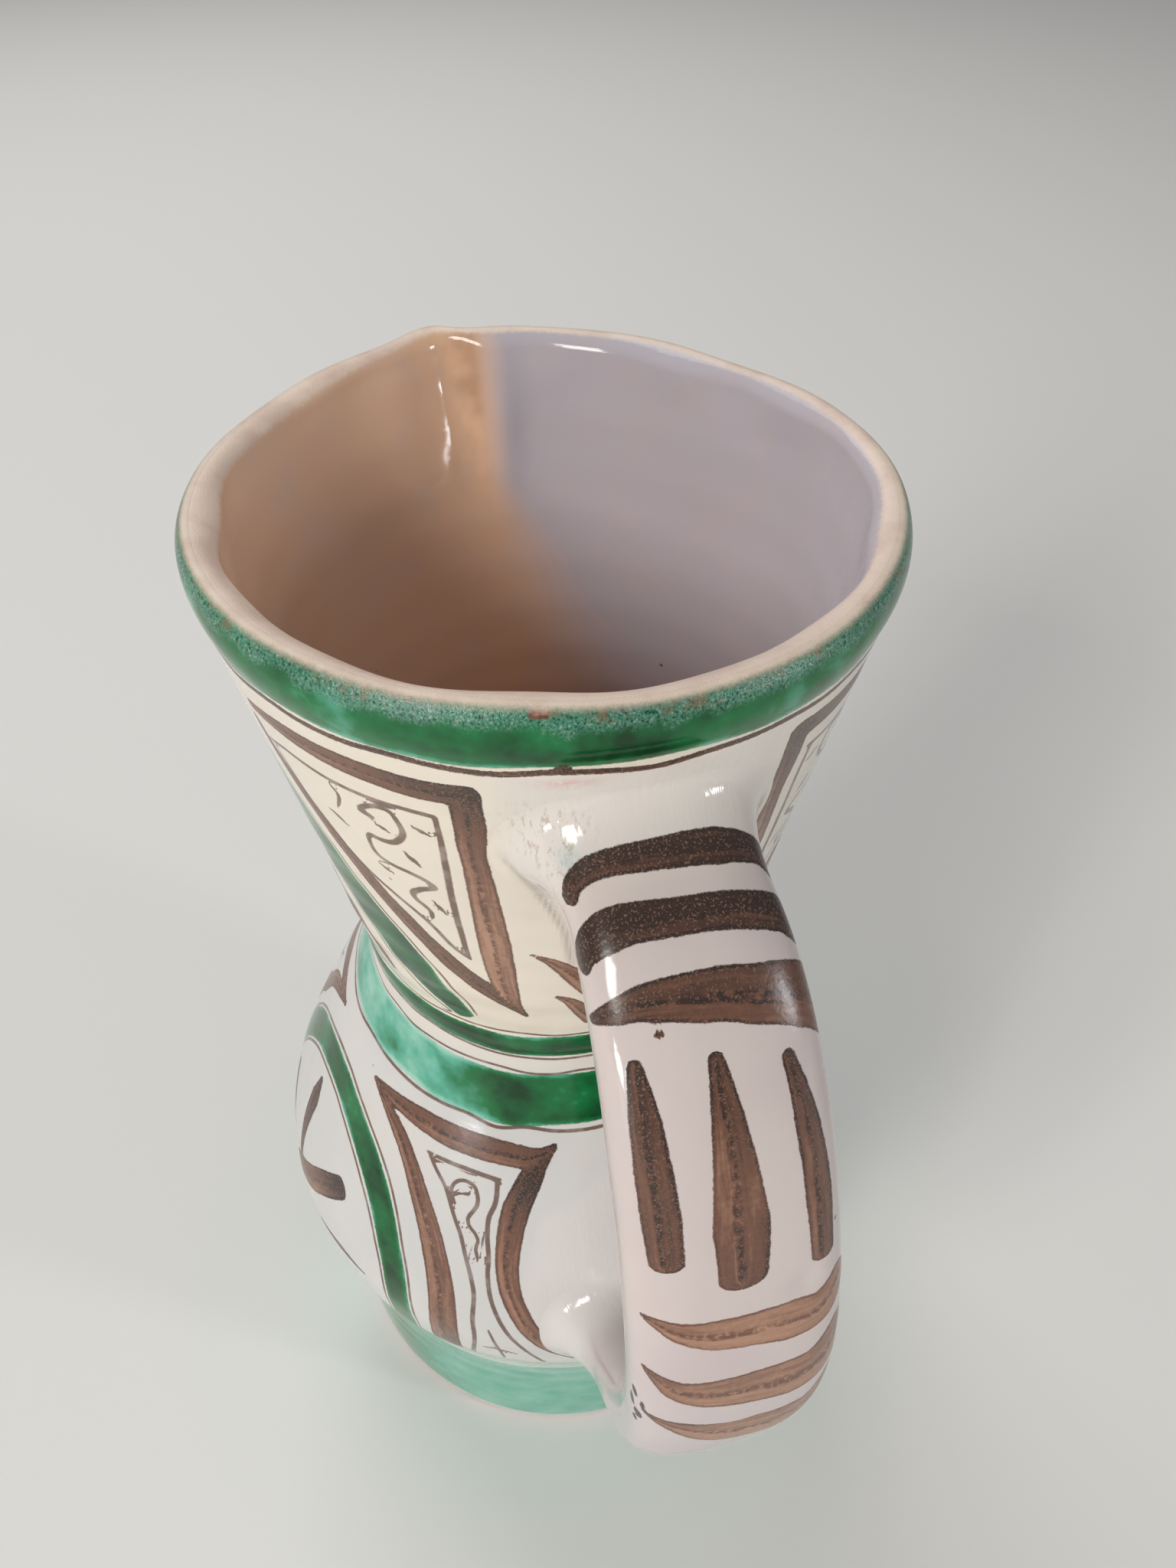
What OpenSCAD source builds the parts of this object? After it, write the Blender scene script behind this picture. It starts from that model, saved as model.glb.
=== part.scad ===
// Tin-glazed earthenware pitcher: round belly, funnel neck with a pinched spout, strap handle.
// The foot stands on the plane z = 0, the wheel's axis is Z, the handle points to +X.
// All lengths are in millimetres and all angles in degrees.

/* [Vessel] */
// Height from the table to the top of the lip
jug_h = 210; // [195:1:230]
// Outer radius of the mouth at the fullest of the lip
mouth_r = 50.4; // [46:0.2:55]
// Outer radius of the waist, where the neck springs from the belly
waist_r = 35.1; // [32:0.1:39]
// Height of the waist
waist_z = 118; // [114:0.5:122]
// Outer radius of the belly at its fullest
belly_r = 57.1; // [54:0.1:62]
// Height of the fullest part of the belly
belly_z = 61; // [57:0.5:65]
// Thickness of the fired clay wall
wall_t = 5; // [3.6:0.1:6]
// How much thicker the rolled lip is than the wall
lip_extra = 0.6; // [0.2:0.1:1.5]

/* [Foot] */
// Radius of the foot where it meets the table
foot_r = 47.7; // [43:0.1:51]
// Radius of the drawn-in ankle, where the belly sits on the foot
ankle_r = 54; // [50:0.1:55.5]
// Height of the tapering foot, up to the ankle
foot_h = 46; // [42:0.5:50]
// Thickness of the clay floor
floor_t = 9; // [7:0.5:11]
// Bevel turned on the bottom edge of the foot
foot_bevel = 1.6; // [0.6:0.1:2.2]
// Radius of the cove between the floor and the wall inside
floor_cove = 9; // [5:0.5:10]

/* [Glaze] */
// Thickness of the white glaze that lines the inside
lining_t = 0.8; // [0.4:0.1:1.2]
// Thickness of the coloured glaze bands
band_t = 0.5; // [0.3:0.1:0.8]
// Width of the green band below the lip
rim_band_w = 6.4; // [4:0.2:9]
// Width of the dark green band round the waist
waist_band_w = 6; // [3:0.2:8]
// How far above the waist the middle of that band runs
waist_band_lift = 8.2; // [4:0.2:12]
// Pale gap between the waist band and the shoulder band
band_gap = 4.8; // [2:0.1:7]
// Width of the turquoise band on the shoulder
shoulder_band_w = 9.8; // [6:0.2:12]
// Height of the lower edge of the green band round the foot
foot_band_z = 2.4; // [2.4:0.2:6]

/* [Spout] */
// How far the rim is drawn out towards the spout
spout_pull = 4.7; // [0:0.1:8]
// Depth below the lip at which the drawn-out wall is round again
spout_depth = 58; // [40:1:75]
// How far the pouring lip stands out beyond the drawn rim
pour_pull = 3.2; // [0:0.1:5]
// Depth below the lip at which the pouring channel fades out
pour_depth = 34; // [20:1:50]
// How far the cheek beside the spout is pressed in
cheek_press = 2.2; // [0:0.1:4]

/* [Handle] */
// How far below the top of the lip the middle of the strap leaves the neck
handle_drop = 27; // [25:0.5:34]
// How far above the fullest part of the belly the middle of the strap meets it
handle_lift = 6.3; // [2:0.1:12]
// Radius that the strap's curve is pulled out towards
handle_pull_r = 100.5; // [92:0.5:112]
// Width of the strap at its two ends
strap_end_w = 25.5; // [22:0.5:29]
// Width that the strap swells towards at its middle
strap_mid_w = 34.2; // [28:0.2:40]
// Thickness of the strap at the neck
strap_top_t = 12.8; // [10:0.1:15]
// Thickness of the strap at the belly
strap_low_t = 15.6; // [12:0.1:17]
// Sideways drift of the strap's lower end
strap_skew = 2; // [-4:0.1:4]
// How far the luting clay reaches along the strap
joint_reach = 16; // [10:0.5:20]
// How far the luting clay spreads to each side of the strap
joint_side = 6; // [3:0.5:8]
// How far the luting clay spreads above and below the strap
joint_rise = 6; // [3:0.2:7]

/* [Hidden] */
$fn = 96;

cream = [0.93, 0.89, 0.83];
bare_clay = [0.80, 0.61, 0.50];
lining_white = [0.86, 0.79, 0.78];
copper_green = [0.04, 0.42, 0.20];
turquoise = [0.30, 0.66, 0.50];

// The thrown outline: heights and radii where the potter's hand changed direction
lip_t = wall_t + lip_extra;
lip_r = lip_t / 2;
lip_z = jug_h - lip_r;
lower_rise_share = 0.395;
lower_swell_share = 0.61;
shoulder_rise_share = 0.6;
shoulder_swell_share = 0.489;
throat_rise_share = 0.3;
throat_flare_share = 0.209;
collar_rise_share = 0.655;
collar_flare_share = 0.601;
function between(a, b, share) = a + (b - a) * share;
outline = [
    [0, foot_r],
    [foot_h, ankle_r],
    [between(foot_h, belly_z, lower_rise_share), between(ankle_r, belly_r, lower_swell_share)],
    [belly_z, belly_r],
    [between(belly_z, waist_z, shoulder_rise_share), between(waist_r, belly_r, shoulder_swell_share)],
    [waist_z, waist_r],
    [between(waist_z, lip_z, throat_rise_share), between(waist_r, mouth_r, throat_flare_share)],
    [between(waist_z, lip_z, collar_rise_share), between(waist_r, mouth_r, collar_flare_share)],
    [lip_z, mouth_r]
];
outline_end = len(outline) - 1;

// Smooth curve through the outline: parabolic slopes at the points, cubic between them
function rise(i) = outline[i + 1][0] - outline[i][0];
function grade(i) = (outline[i + 1][1] - outline[i][1]) / rise(i);
function slope(i) =
    i == 0 ? grade(0) :
    i == outline_end ? grade(outline_end - 1) :
    (rise(i - 1) * grade(i) + rise(i) * grade(i - 1)) / (rise(i - 1) + rise(i));
function stretch_of(z, i = 0) = i >= outline_end - 1 || z < outline[i + 1][0] ? i : stretch_of(z, i + 1);
function cubic(u, a, b, da, db) =
    a * (1 + 2 * u) * (1 - u) * (1 - u) + b * u * u * (3 - 2 * u)
    + da * u * (1 - u) * (1 - u) - db * u * u * (1 - u);
function outer_r(z) =
    let (i = stretch_of(z), h = rise(i))
    cubic((z - outline[i][0]) / h, outline[i][1], outline[i + 1][1], slope(i) * h, slope(i + 1) * h);

// A run of points up the wall, set in from the outer face by a depth
wall_step = 6;
function heights(z0, z1) = let (n = ceil((z1 - z0) / wall_step)) [for (k = [0:n]) between(z0, z1, k / n)];
function wall_up(z0, z1, depth) = [for (z = heights(z0, z1)) [outer_r(z) - depth, z]];
function reversed(list) = [for (k = [len(list) - 1:-1:0]) list[k]];
function wall_down(z0, z1, depth) = reversed(wall_up(z0, z1, depth));

// Quarter round from the wall into the floor, for a surface set in from the clay by a depth
cove_turns = 6;
cove_z = floor_t + floor_cove;
cove_x = outer_r(cove_z) - wall_t - floor_cove;
function cove_down(depth) = [for (k = [0:cove_turns]) let (a = -90 * k / cove_turns)
    [cove_x + (floor_cove - depth) * cos(a), cove_z + (floor_cove - depth) * sin(a)]];

// The neck is luted on in the pale gap between the shoulder band and the waist band
waist_band_z = waist_z + waist_band_lift - waist_band_w / 2;
waist_band_top = waist_band_z + waist_band_w;
shoulder_band_top = waist_band_z - band_gap;
shoulder_band_z = shoulder_band_top - shoulder_band_w;
neck_z = waist_band_z - band_gap / 2;
rim_band_top = lip_z;
rim_band_z = rim_band_top - rim_band_w;
foot_band_top = foot_h;

// Pull of the spout on the wall, by the angle from the handle and the height
spout_angle = 180;
spout_spread = 31;
pour_turn = 6.5;
pour_spread = 7.5;
crease_spread = 4.2;
cheek_turn = -56;
cheek_spread = 19;
function bell(x) = exp(-x * x);
function eased(x) = let (u = min(1, max(0, x))) u * u * (3 - 2 * u);
function fade(z, depth) = eased((z - jug_h + depth) / depth);
function spout(a, z) =
    let (turn = a - spout_angle, pour = turn - pour_turn)
    fade(z, spout_depth) * (spout_pull * bell(turn / spout_spread)
        - cheek_press * bell((turn - cheek_turn) / cheek_spread))
    + fade(z, pour_depth) * pour_pull * bell(pour / (pour < 0 ? crease_spread : pour_spread));

// Angles of the facets round the neck, finest across the spout
fine_half = 14;
middle_half = 42;
fine_step = 2;
middle_step = 4;
coarse_step = 6;
facet_angles = concat(
    [for (a = [-fine_half:fine_step:fine_half]) spout_angle + a],
    [for (a = [fine_half + middle_step:middle_step:middle_half]) spout_angle + a],
    [for (a = [middle_half + coarse_step:coarse_step:360 - middle_half - coarse_step]) spout_angle + a],
    [for (a = [-middle_half:middle_step:-fine_half - middle_step]) spout_angle + 360 + a]);
function turned(a) = a > 360 ? a - 360 : a;

// Closed loop of rings, each with the same number of points, skinned with triangles
module ring_loop(rings) {
    n = len(rings[0]);
    m = len(rings);
    polyhedron(
        points = [for (ring = rings) each ring],
        faces = [for (i = [0:m - 1], j = [0:n - 1])
            let (a = i * n + j, b = i * n + (j + 1) % n,
                 c = ((i + 1) % m) * n + (j + 1) % n, d = ((i + 1) % m) * n + j)
            each [[a, b, c], [a, c, d]]]);
}

// Wall section, listed counter-clockwise, taken round the axis with the pull of the spout
module thrown(section) {
    ring_loop([for (a = facet_angles)
        [for (p = section) let (r = p[0] + spout(turned(a), p[1])) [r * cos(a), r * sin(a), p[1]]]]);
}

// Wall section taken round the axis as a true surface of revolution
module turned_ring(section) {
    rotate_extrude() polygon(section);
}

module foot() {
    color(bare_clay) turned_ring(concat(
        [[0, 0], [foot_r - foot_bevel, 0], [outer_r(foot_bevel), foot_bevel]],
        [[outer_r(foot_band_z), foot_band_z]],
        wall_up(foot_band_z, foot_band_top, band_t),
        wall_down(cove_z, foot_h, wall_t),
        cove_down(0),
        [[0, floor_t]]));
}

module belly() {
    color(cream) turned_ring(concat(
        wall_up(foot_h, shoulder_band_z, 0),
        wall_up(shoulder_band_z, shoulder_band_top, band_t),
        wall_up(shoulder_band_top, neck_z, 0),
        wall_down(foot_h, neck_z, wall_t)));
}

// Half round of the lip, from its outer side over the top to its inner side
lip_turns = 8;
function lip_over() = [for (k = [0:lip_turns]) let (a = 180 * k / lip_turns)
    [mouth_r - lip_r + lip_r * cos(a), lip_z + lip_r * sin(a)]];

module neck() {
    color(cream) thrown(concat(
        wall_up(neck_z, waist_band_z, 0),
        wall_up(waist_band_z, waist_band_top, band_t),
        wall_up(waist_band_top, rim_band_z, 0),
        wall_up(rim_band_z, rim_band_top, band_t),
        lip_over(),
        wall_down(neck_z, lip_z, wall_t)));
}

module belly_lining() {
    color(lining_white) turned_ring(concat(
        [[0, floor_t]],
        reversed(cove_down(0)),
        wall_up(cove_z, foot_h, wall_t),
        wall_up(foot_h, neck_z, wall_t),
        wall_down(foot_h, neck_z, wall_t + lining_t),
        wall_down(cove_z, foot_h, wall_t + lining_t),
        cove_down(lining_t),
        [[0, floor_t + lining_t]]));
}

module neck_lining() {
    color(lining_white) thrown(concat(
        wall_up(neck_z, lip_z, wall_t),
        wall_down(neck_z, lip_z, wall_t + lining_t)));
}

module glaze_band(z0, z1) {
    turned_ring(concat(wall_up(z0, z1, 0), wall_down(z0, z1, band_t)));
}

// The bands on the neck follow the pull of the spout as far down as it reaches
module neck_band(z0, z1) {
    thrown(concat(wall_up(z0, z1, 0), wall_down(z0, z1, band_t)));
}

module rim_band() {
    color(copper_green) neck_band(rim_band_z, rim_band_top);
}

module waist_band() {
    color(copper_green) neck_band(waist_band_z, waist_band_top);
}

module shoulder_band() {
    color(turquoise) glaze_band(shoulder_band_z, shoulder_band_top);
}

module foot_band() {
    color(turquoise) glaze_band(foot_band_z, foot_band_top);
}

// The strap follows a Bezier curve in the XZ plane. Each control share is a part of the pull
// radius, and a part of the way down from the upper root to the lower one.
control_shares = [[0.697, -0.01], [0.756, 0.244], [1, 0.62], [0.865, 0.818]];
strap_seat = 0.12;
handle_top_z = jug_h - handle_drop;
handle_low_z = belly_z + handle_lift;
strap_controls = concat(
    [[outer_r(handle_top_z), handle_top_z]],
    [for (s = control_shares) [handle_pull_r * s[0], between(handle_top_z, handle_low_z, s[1])]],
    [[outer_r(handle_low_z), handle_low_z]]);
function blended(list, t) = len(list) == 1 ? list[0] :
    blended([for (i = [0:len(list) - 2]) between(list[i], list[i + 1], t)], t);
function steps_of(list) = [for (i = [0:len(list) - 2]) list[i + 1] - list[i]];
function strap_middle(t) = blended(strap_controls, t);
function strap_heading(t) = let (d = blended(steps_of(strap_controls), t)) d / norm(d);
// Near its two ends the strap's sections turn to lie flat on the vessel
root_turn = 0.16;
function root_out(z) = let (s = outer_r(z + 0.5) - outer_r(z - 0.5)) [1, -s] / norm([1, s]);
function strap_facing(t) =
    let (top = 1 - eased(t / root_turn), low = 1 - eased((1 - t) / root_turn),
         d = strap_heading(t) * (1 - top - low) + root_out(handle_top_z) * top - root_out(handle_low_z) * low)
    d / norm(d);
function strap_w(t) = blended([strap_end_w, strap_mid_w, strap_end_w], t);
function strap_t(t) = between(strap_top_t, strap_low_t, t);

// Squarish oval round the strap at one station, grown to the sides and across the strap
strap_sides = 24;
oval_power = 2.6;
function squarish(v) = sign(v) * pow(abs(v), 2 / oval_power);
function strap_ring(t, side = 0, rise = 0, shrink = 1) =
    let (m = strap_middle(t), d = strap_facing(t))
    [for (k = [0:strap_sides - 1])
        let (a = 360 * k / strap_sides,
             across = squarish(sin(a)) * (strap_t(t) / 2 + rise) * shrink,
             along_y = squarish(cos(a)) * (strap_w(t) / 2 + side) * shrink)
        [m[0] - d[1] * across, strap_skew * t * t + along_y, m[1] + d[0] * across]];
// The same oval pressed against the vessel's outer face
function seated(ring) = [for (p = ring) let (r = outer_r(p[2]) + strap_seat)
    [sqrt(r * r - p[1] * p[1]), p[1], p[2]]];

strap_steps = 30;
seat_steps = 4;
function strap_at(k) = k / strap_steps;
function seat_rings(t) = [for (k = [1:seat_steps]) seated(strap_ring(t, shrink = k / seat_steps))];

// Stack of rings closed at both ends by a fan round a middle point
module capped_stack(rings, first, last) {
    n = len(rings[0]);
    m = len(rings);
    polyhedron(
        points = concat([for (ring = rings) each ring], [first, last]),
        faces = concat(
            [for (i = [0:m - 2], j = [0:n - 1])
                let (a = i * n + j, b = i * n + (j + 1) % n, c = a + n, d = b + n)
                each [[a, b, d], [a, d, c]]],
            [for (j = [0:n - 1]) [m * n, (j + 1) % n, j]],
            [for (j = [0:n - 1]) [m * n + 1, (m - 1) * n + j, (m - 1) * n + (j + 1) % n]]));
}

module handle() {
    color(cream) capped_stack(
        concat(
            seat_rings(0),
            [for (k = [1:strap_steps - 1]) strap_ring(strap_at(k))],
            reversed(seat_rings(1))),
        seated(strap_ring(0, shrink = 0))[0],
        seated(strap_ring(1, shrink = 0))[0]);
}

// Luting clay smoothed round the strap's end: a collar that spreads out over the vessel's face.
// Station 0 lies on the vessel and the last one feathers out on the strap.
joint_steps = 4;
joint_gap = 0.06;
joint_edge = 0.4;
spread_power = 2;
function spread_at(k, full) = joint_edge + (full - joint_edge) * pow(1 - k / joint_steps, spread_power);
function strap_speed(t) = (len(strap_controls) - 1) * norm(blended(steps_of(strap_controls), t));
module strap_joint(root, way) {
    reach = way * joint_reach / strap_speed(root);
    stations = [for (k = [0:joint_steps]) root + reach * k / joint_steps];
    outer = [for (k = [0:joint_steps])
        let (ring = strap_ring(stations[k], spread_at(k, joint_side), spread_at(k, joint_rise)))
        k == 0 ? seated(ring) : ring];
    inner = [for (k = [0:joint_steps])
        let (ring = strap_ring(stations[k], joint_gap, joint_gap))
        k == 0 ? seated(ring) : ring];
    footprint = [for (k = [1:seat_steps - 1]) seated(strap_ring(root,
        between(joint_gap, joint_side, k / seat_steps), between(joint_gap, joint_rise, k / seat_steps)))];
    rings = concat(inner, reversed(outer), reversed(footprint));
    ring_loop(way > 0 ? rings : reversed(rings));
}

module upper_handle_joint() {
    color(cream) strap_joint(0, 1);
}

module lower_handle_joint() {
    color(cream) strap_joint(1, -1);
}

foot();
belly();
neck();
handle();
upper_handle_joint();
lower_handle_joint();
belly_lining();
neck_lining();
rim_band();
waist_band();
shoulder_band();
foot_band();
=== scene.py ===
# Tin-glazed earthenware pitcher, thrown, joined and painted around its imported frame.
import math
from types import SimpleNamespace

import bmesh
import bpy
import numpy as np
from bpy.props import FloatProperty, FloatVectorProperty, IntProperty, PointerProperty
from mathutils import Matrix, Vector


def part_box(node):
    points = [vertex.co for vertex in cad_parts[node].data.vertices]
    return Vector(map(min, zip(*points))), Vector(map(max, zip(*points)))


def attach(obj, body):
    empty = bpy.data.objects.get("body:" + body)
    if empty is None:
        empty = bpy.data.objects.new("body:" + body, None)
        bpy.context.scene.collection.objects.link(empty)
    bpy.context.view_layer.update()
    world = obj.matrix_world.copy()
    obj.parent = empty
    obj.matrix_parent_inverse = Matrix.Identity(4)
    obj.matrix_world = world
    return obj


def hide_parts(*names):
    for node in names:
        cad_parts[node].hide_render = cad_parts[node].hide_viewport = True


bl_info = {
    "name": "Painted Pitcher",
    "version": (1, 0, 0),
    "blender": (4, 5, 0),
    "location": "View3D > Sidebar > Pitcher",
    "description": "Throws, joins and paints a tin-glazed earthenware pitcher",
    "category": "Object",
}

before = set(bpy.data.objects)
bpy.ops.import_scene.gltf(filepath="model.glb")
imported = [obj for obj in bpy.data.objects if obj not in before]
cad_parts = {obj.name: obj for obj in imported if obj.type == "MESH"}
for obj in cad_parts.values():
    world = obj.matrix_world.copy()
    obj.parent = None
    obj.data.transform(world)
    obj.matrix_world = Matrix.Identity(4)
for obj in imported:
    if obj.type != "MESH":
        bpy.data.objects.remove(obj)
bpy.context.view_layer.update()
MM = 0.001
BODY = "root"
SEED = 41
BATCH = 6000

# Fixed measures in millimetres
FAR = 9.0
COVE = 9.0
LIP_ROLL = 7.5
FOOT_BEVEL = 1.6
HIDDEN_GAP = 0.03
PAINT_START = 2.0
STROKE_STEP = 0.35
STROKE_REACH = 2.5
STROKE_SHIFT = 61.0
OUTLINE_GAP = 0.7
RING_WAVE = 0.25


def linear(red, green, blue):
    """A colour written in 0 to 255 display values, as linear light."""
    shares = [v / 255 for v in (red, green, blue)]
    return tuple(s / 12.92 if s <= 0.04045 else ((s + 0.055) / 1.055) ** 2.4 for s in shares)


def length(name, description, default):
    return FloatProperty(name=name, description=description, default=default, unit="LENGTH", precision=4)


def amount(name, description, default, low=0):
    return FloatProperty(name=name, description=description, default=default, min=low)


def colour(name, description, red, green, blue):
    return FloatVectorProperty(name=name, description=description, default=linear(red, green, blue),
                               subtype="COLOR", size=3, min=0, max=1)


def bottom(node):
    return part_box(node)[0].z


def top(node):
    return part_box(node)[1].z


# Sizes and colours that a user would change
class PitcherVesselSizes(bpy.types.PropertyGroup):
    height: length("Height", "From the table to the top of the lip", top("neck"))
    mouth_radius: length("Mouth radius", "Outside, at the fullest of the lip", 0.0504)
    waist_radius: length("Waist radius", "Outside, where the neck springs from the belly", 0.0351)
    waist_height: length("Waist height", "Height of the waist", 0.118)
    belly_radius: length("Belly radius", "Outside, at the fullest of the belly", 0.0571)
    belly_height: length("Belly height", "Height of the fullest part of the belly", 0.061)
    ankle_radius: length("Ankle radius", "Outside, where the belly sits on the foot", 0.054)
    foot_height: length("Foot height", "From the table to the ankle", top("foot"))
    foot_radius: length("Foot radius", "Where the foot meets the table", 0.0477)
    neck_height: length("Neck joint", "Height at which the neck is luted on", bottom("neck"))
    wall: length("Wall", "Thickness of the clay wall", 0.005)
    lining: length("Lining", "Thickness of the glaze inside", 0.0008)
    lip: length("Lip", "Thickness of the rolled lip", 0.0056)
    floor: length("Floor", "Thickness of the clay floor", 0.009)
    columns: IntProperty(name="Columns", description="Mesh columns round the wheel's axis",
                         default=480, min=96)
    row_step: length("Row step", "Height of one mesh row on the painted side", 0.0008)


class PitcherHandleSizes(bpy.types.PropertyGroup):
    top_height: length("Upper root", "Height of the strap's middle on the neck", 0.183)
    low_height: length("Lower root", "Height of the strap's middle on the belly", 0.0673)
    top_width: length("Upper width", "Width of the strap at the neck", 0.024)
    pull_width: length("Pull width", "Width that the strap swells towards", 0.0342)
    low_width: length("Lower width", "Width of the strap at the belly", 0.0269)
    top_thickness: length("Upper thickness", "Thickness of the strap at the neck", 0.0128)
    low_thickness: length("Lower thickness", "Thickness of the strap at the belly", 0.0156)
    bow: length("Bow", "Sideways bow of the strap", 0.0018)
    drift: length("Drift", "Sideways drift of the strap's lower end", 0.0024)


class PitcherBandSizes(bpy.types.PropertyGroup):
    rim_low: length("Rim band", "Lower edge of the green band below the lip", bottom("rim_band"))
    relief: length("Relief", "How far the thick glaze of the bands stands out", 0.0004)
    waist_low: length("Waist band, low", "Lower edge of the waist band", bottom("waist_band"))
    waist_high: length("Waist band, high", "Upper edge of the waist band", top("waist_band"))
    shoulder_low: length("Shoulder band, low", "Lower edge of the shoulder band", bottom("shoulder_band"))
    shoulder_high: length("Shoulder band, high", "Upper edge of the shoulder band", top("shoulder_band"))
    foot_low: length("Foot band, low", "Lower edge of the foot band", bottom("foot_band"))
    foot_high: length("Foot band, high", "Upper edge of the foot band", top("foot_band"))


class PitcherColours(bpy.types.PropertyGroup):
    cream: colour("Cream", "Tin glaze over the neck", 230, 220, 203)
    white: colour("White", "Thicker tin glaze over the belly", 204, 203, 201)
    rosy: colour("Rosy", "Thinner tin glaze, with the clay showing through", 200, 186, 186)
    lining: colour("Lining", "Tin glaze inside the vessel", 190, 184, 192)
    # Shaded lining: the lining's copy in painted shade, laid on the inner wall turned away from the key lamp
    warm_lining: colour("Warm lining", "Thinner tin glaze inside the vessel", 228, 187, 155)
    lip: colour("Lip", "Worn glaze on top of the lip", 240, 218, 200)
    deep_green: colour("Deep green", "Copper glaze where it pools", 2, 56, 24)
    green: colour("Green", "Copper glaze", 14, 110, 58)
    turquoise: colour("Turquoise", "Copper glaze where it is thin", 92, 172, 148)
    pale_green: colour("Pale green", "Copper glaze where it is thinnest", 152, 202, 184)
    dark_brown: colour("Dark brown", "Manganese laid on thick", 46, 28, 20)
    brown: colour("Brown", "Manganese brushwork", 112, 74, 56)
    tan: colour("Tan", "Manganese laid on thin", 174, 132, 106)
    line: colour("Fine line", "Manganese drawn with a fine brush", 98, 70, 56)
    # Ochre stain in the spout; it also darkens the spout's crease as painted crease shade
    stain: colour("Stain", "Ochre stain in the spout", 152, 114, 78)
    clay: colour("Clay", "Unglazed underside", 190, 142, 112)


class PitcherStageSettings(bpy.types.PropertyGroup):
    lens: amount("Lens", "Focal length of the camera in millimetres", 28.125, 10)
    key: amount("Key", "Power of the large soft lamp in watts", 14.0)
    window: amount("Window", "Power of the low lamp in watts", 2.8)
    side: amount("Side", "Power of the lamp on the right in watts", 3.5)
    fill: amount("Fill", "Power of the fill lamp in watts", 9.0)
    sky: amount("Sky", "Strength of the even light from all around", 0.24)
    floor: colour("Floor", "Plain pale floor", 232, 230, 226)


GROUPS = {"pitcher_vessel": PitcherVesselSizes, "pitcher_handle": PitcherHandleSizes,
          "pitcher_bands": PitcherBandSizes, "pitcher_colours": PitcherColours,
          "pitcher_stage": PitcherStageSettings}


def settings():
    return [getattr(bpy.context.scene, name) for name in GROUPS]


def in_mm(group):
    """A group's lengths in millimetres, with whole numbers as they are."""
    values = {name: getattr(group, name) for name in type(group).__annotations__}
    return SimpleNamespace(**{name: v / MM if isinstance(v, float) else v for name, v in values.items()})


# Small helpers
def smooth(value, low, high):
    share = np.clip((np.asarray(value, float) - low) / (high - low), 0, 1)
    return share * share * (3 - 2 * share)


def bell(value):
    return np.exp(-np.asarray(value, float) ** 2)


def turned(angle, start):
    """Degrees from a starting direction, between -180 and 180."""
    return (np.degrees(angle) - start + 180) % 360 - 180


def between(low, high, up, out):
    """A point of the outline at shares of the way up and out between two others."""
    return low[0] + up * (high[0] - low[0]), low[1] + out * (high[1] - low[1])


def unit(vectors):
    return vectors / (np.linalg.norm(vectors, axis=-1, keepdims=True) + 1e-12)


def walked(points):
    """Length of the way along some points, up to each of them."""
    return np.concatenate([[0], np.cumsum(np.linalg.norm(np.diff(points, axis=0), axis=1))])


def along(shares, values):
    """Values given at even steps of a way, read at shares of it."""
    return np.interp(shares, np.linspace(0, 1, len(values)), values)


def run(low, high, step):
    return np.linspace(low, high, max(2, int(math.ceil(abs(high - low) / step)) + 1))


def batches(ids):
    return [ids[start:start + BATCH] for start in range(0, len(ids), BATCH)]


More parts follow.
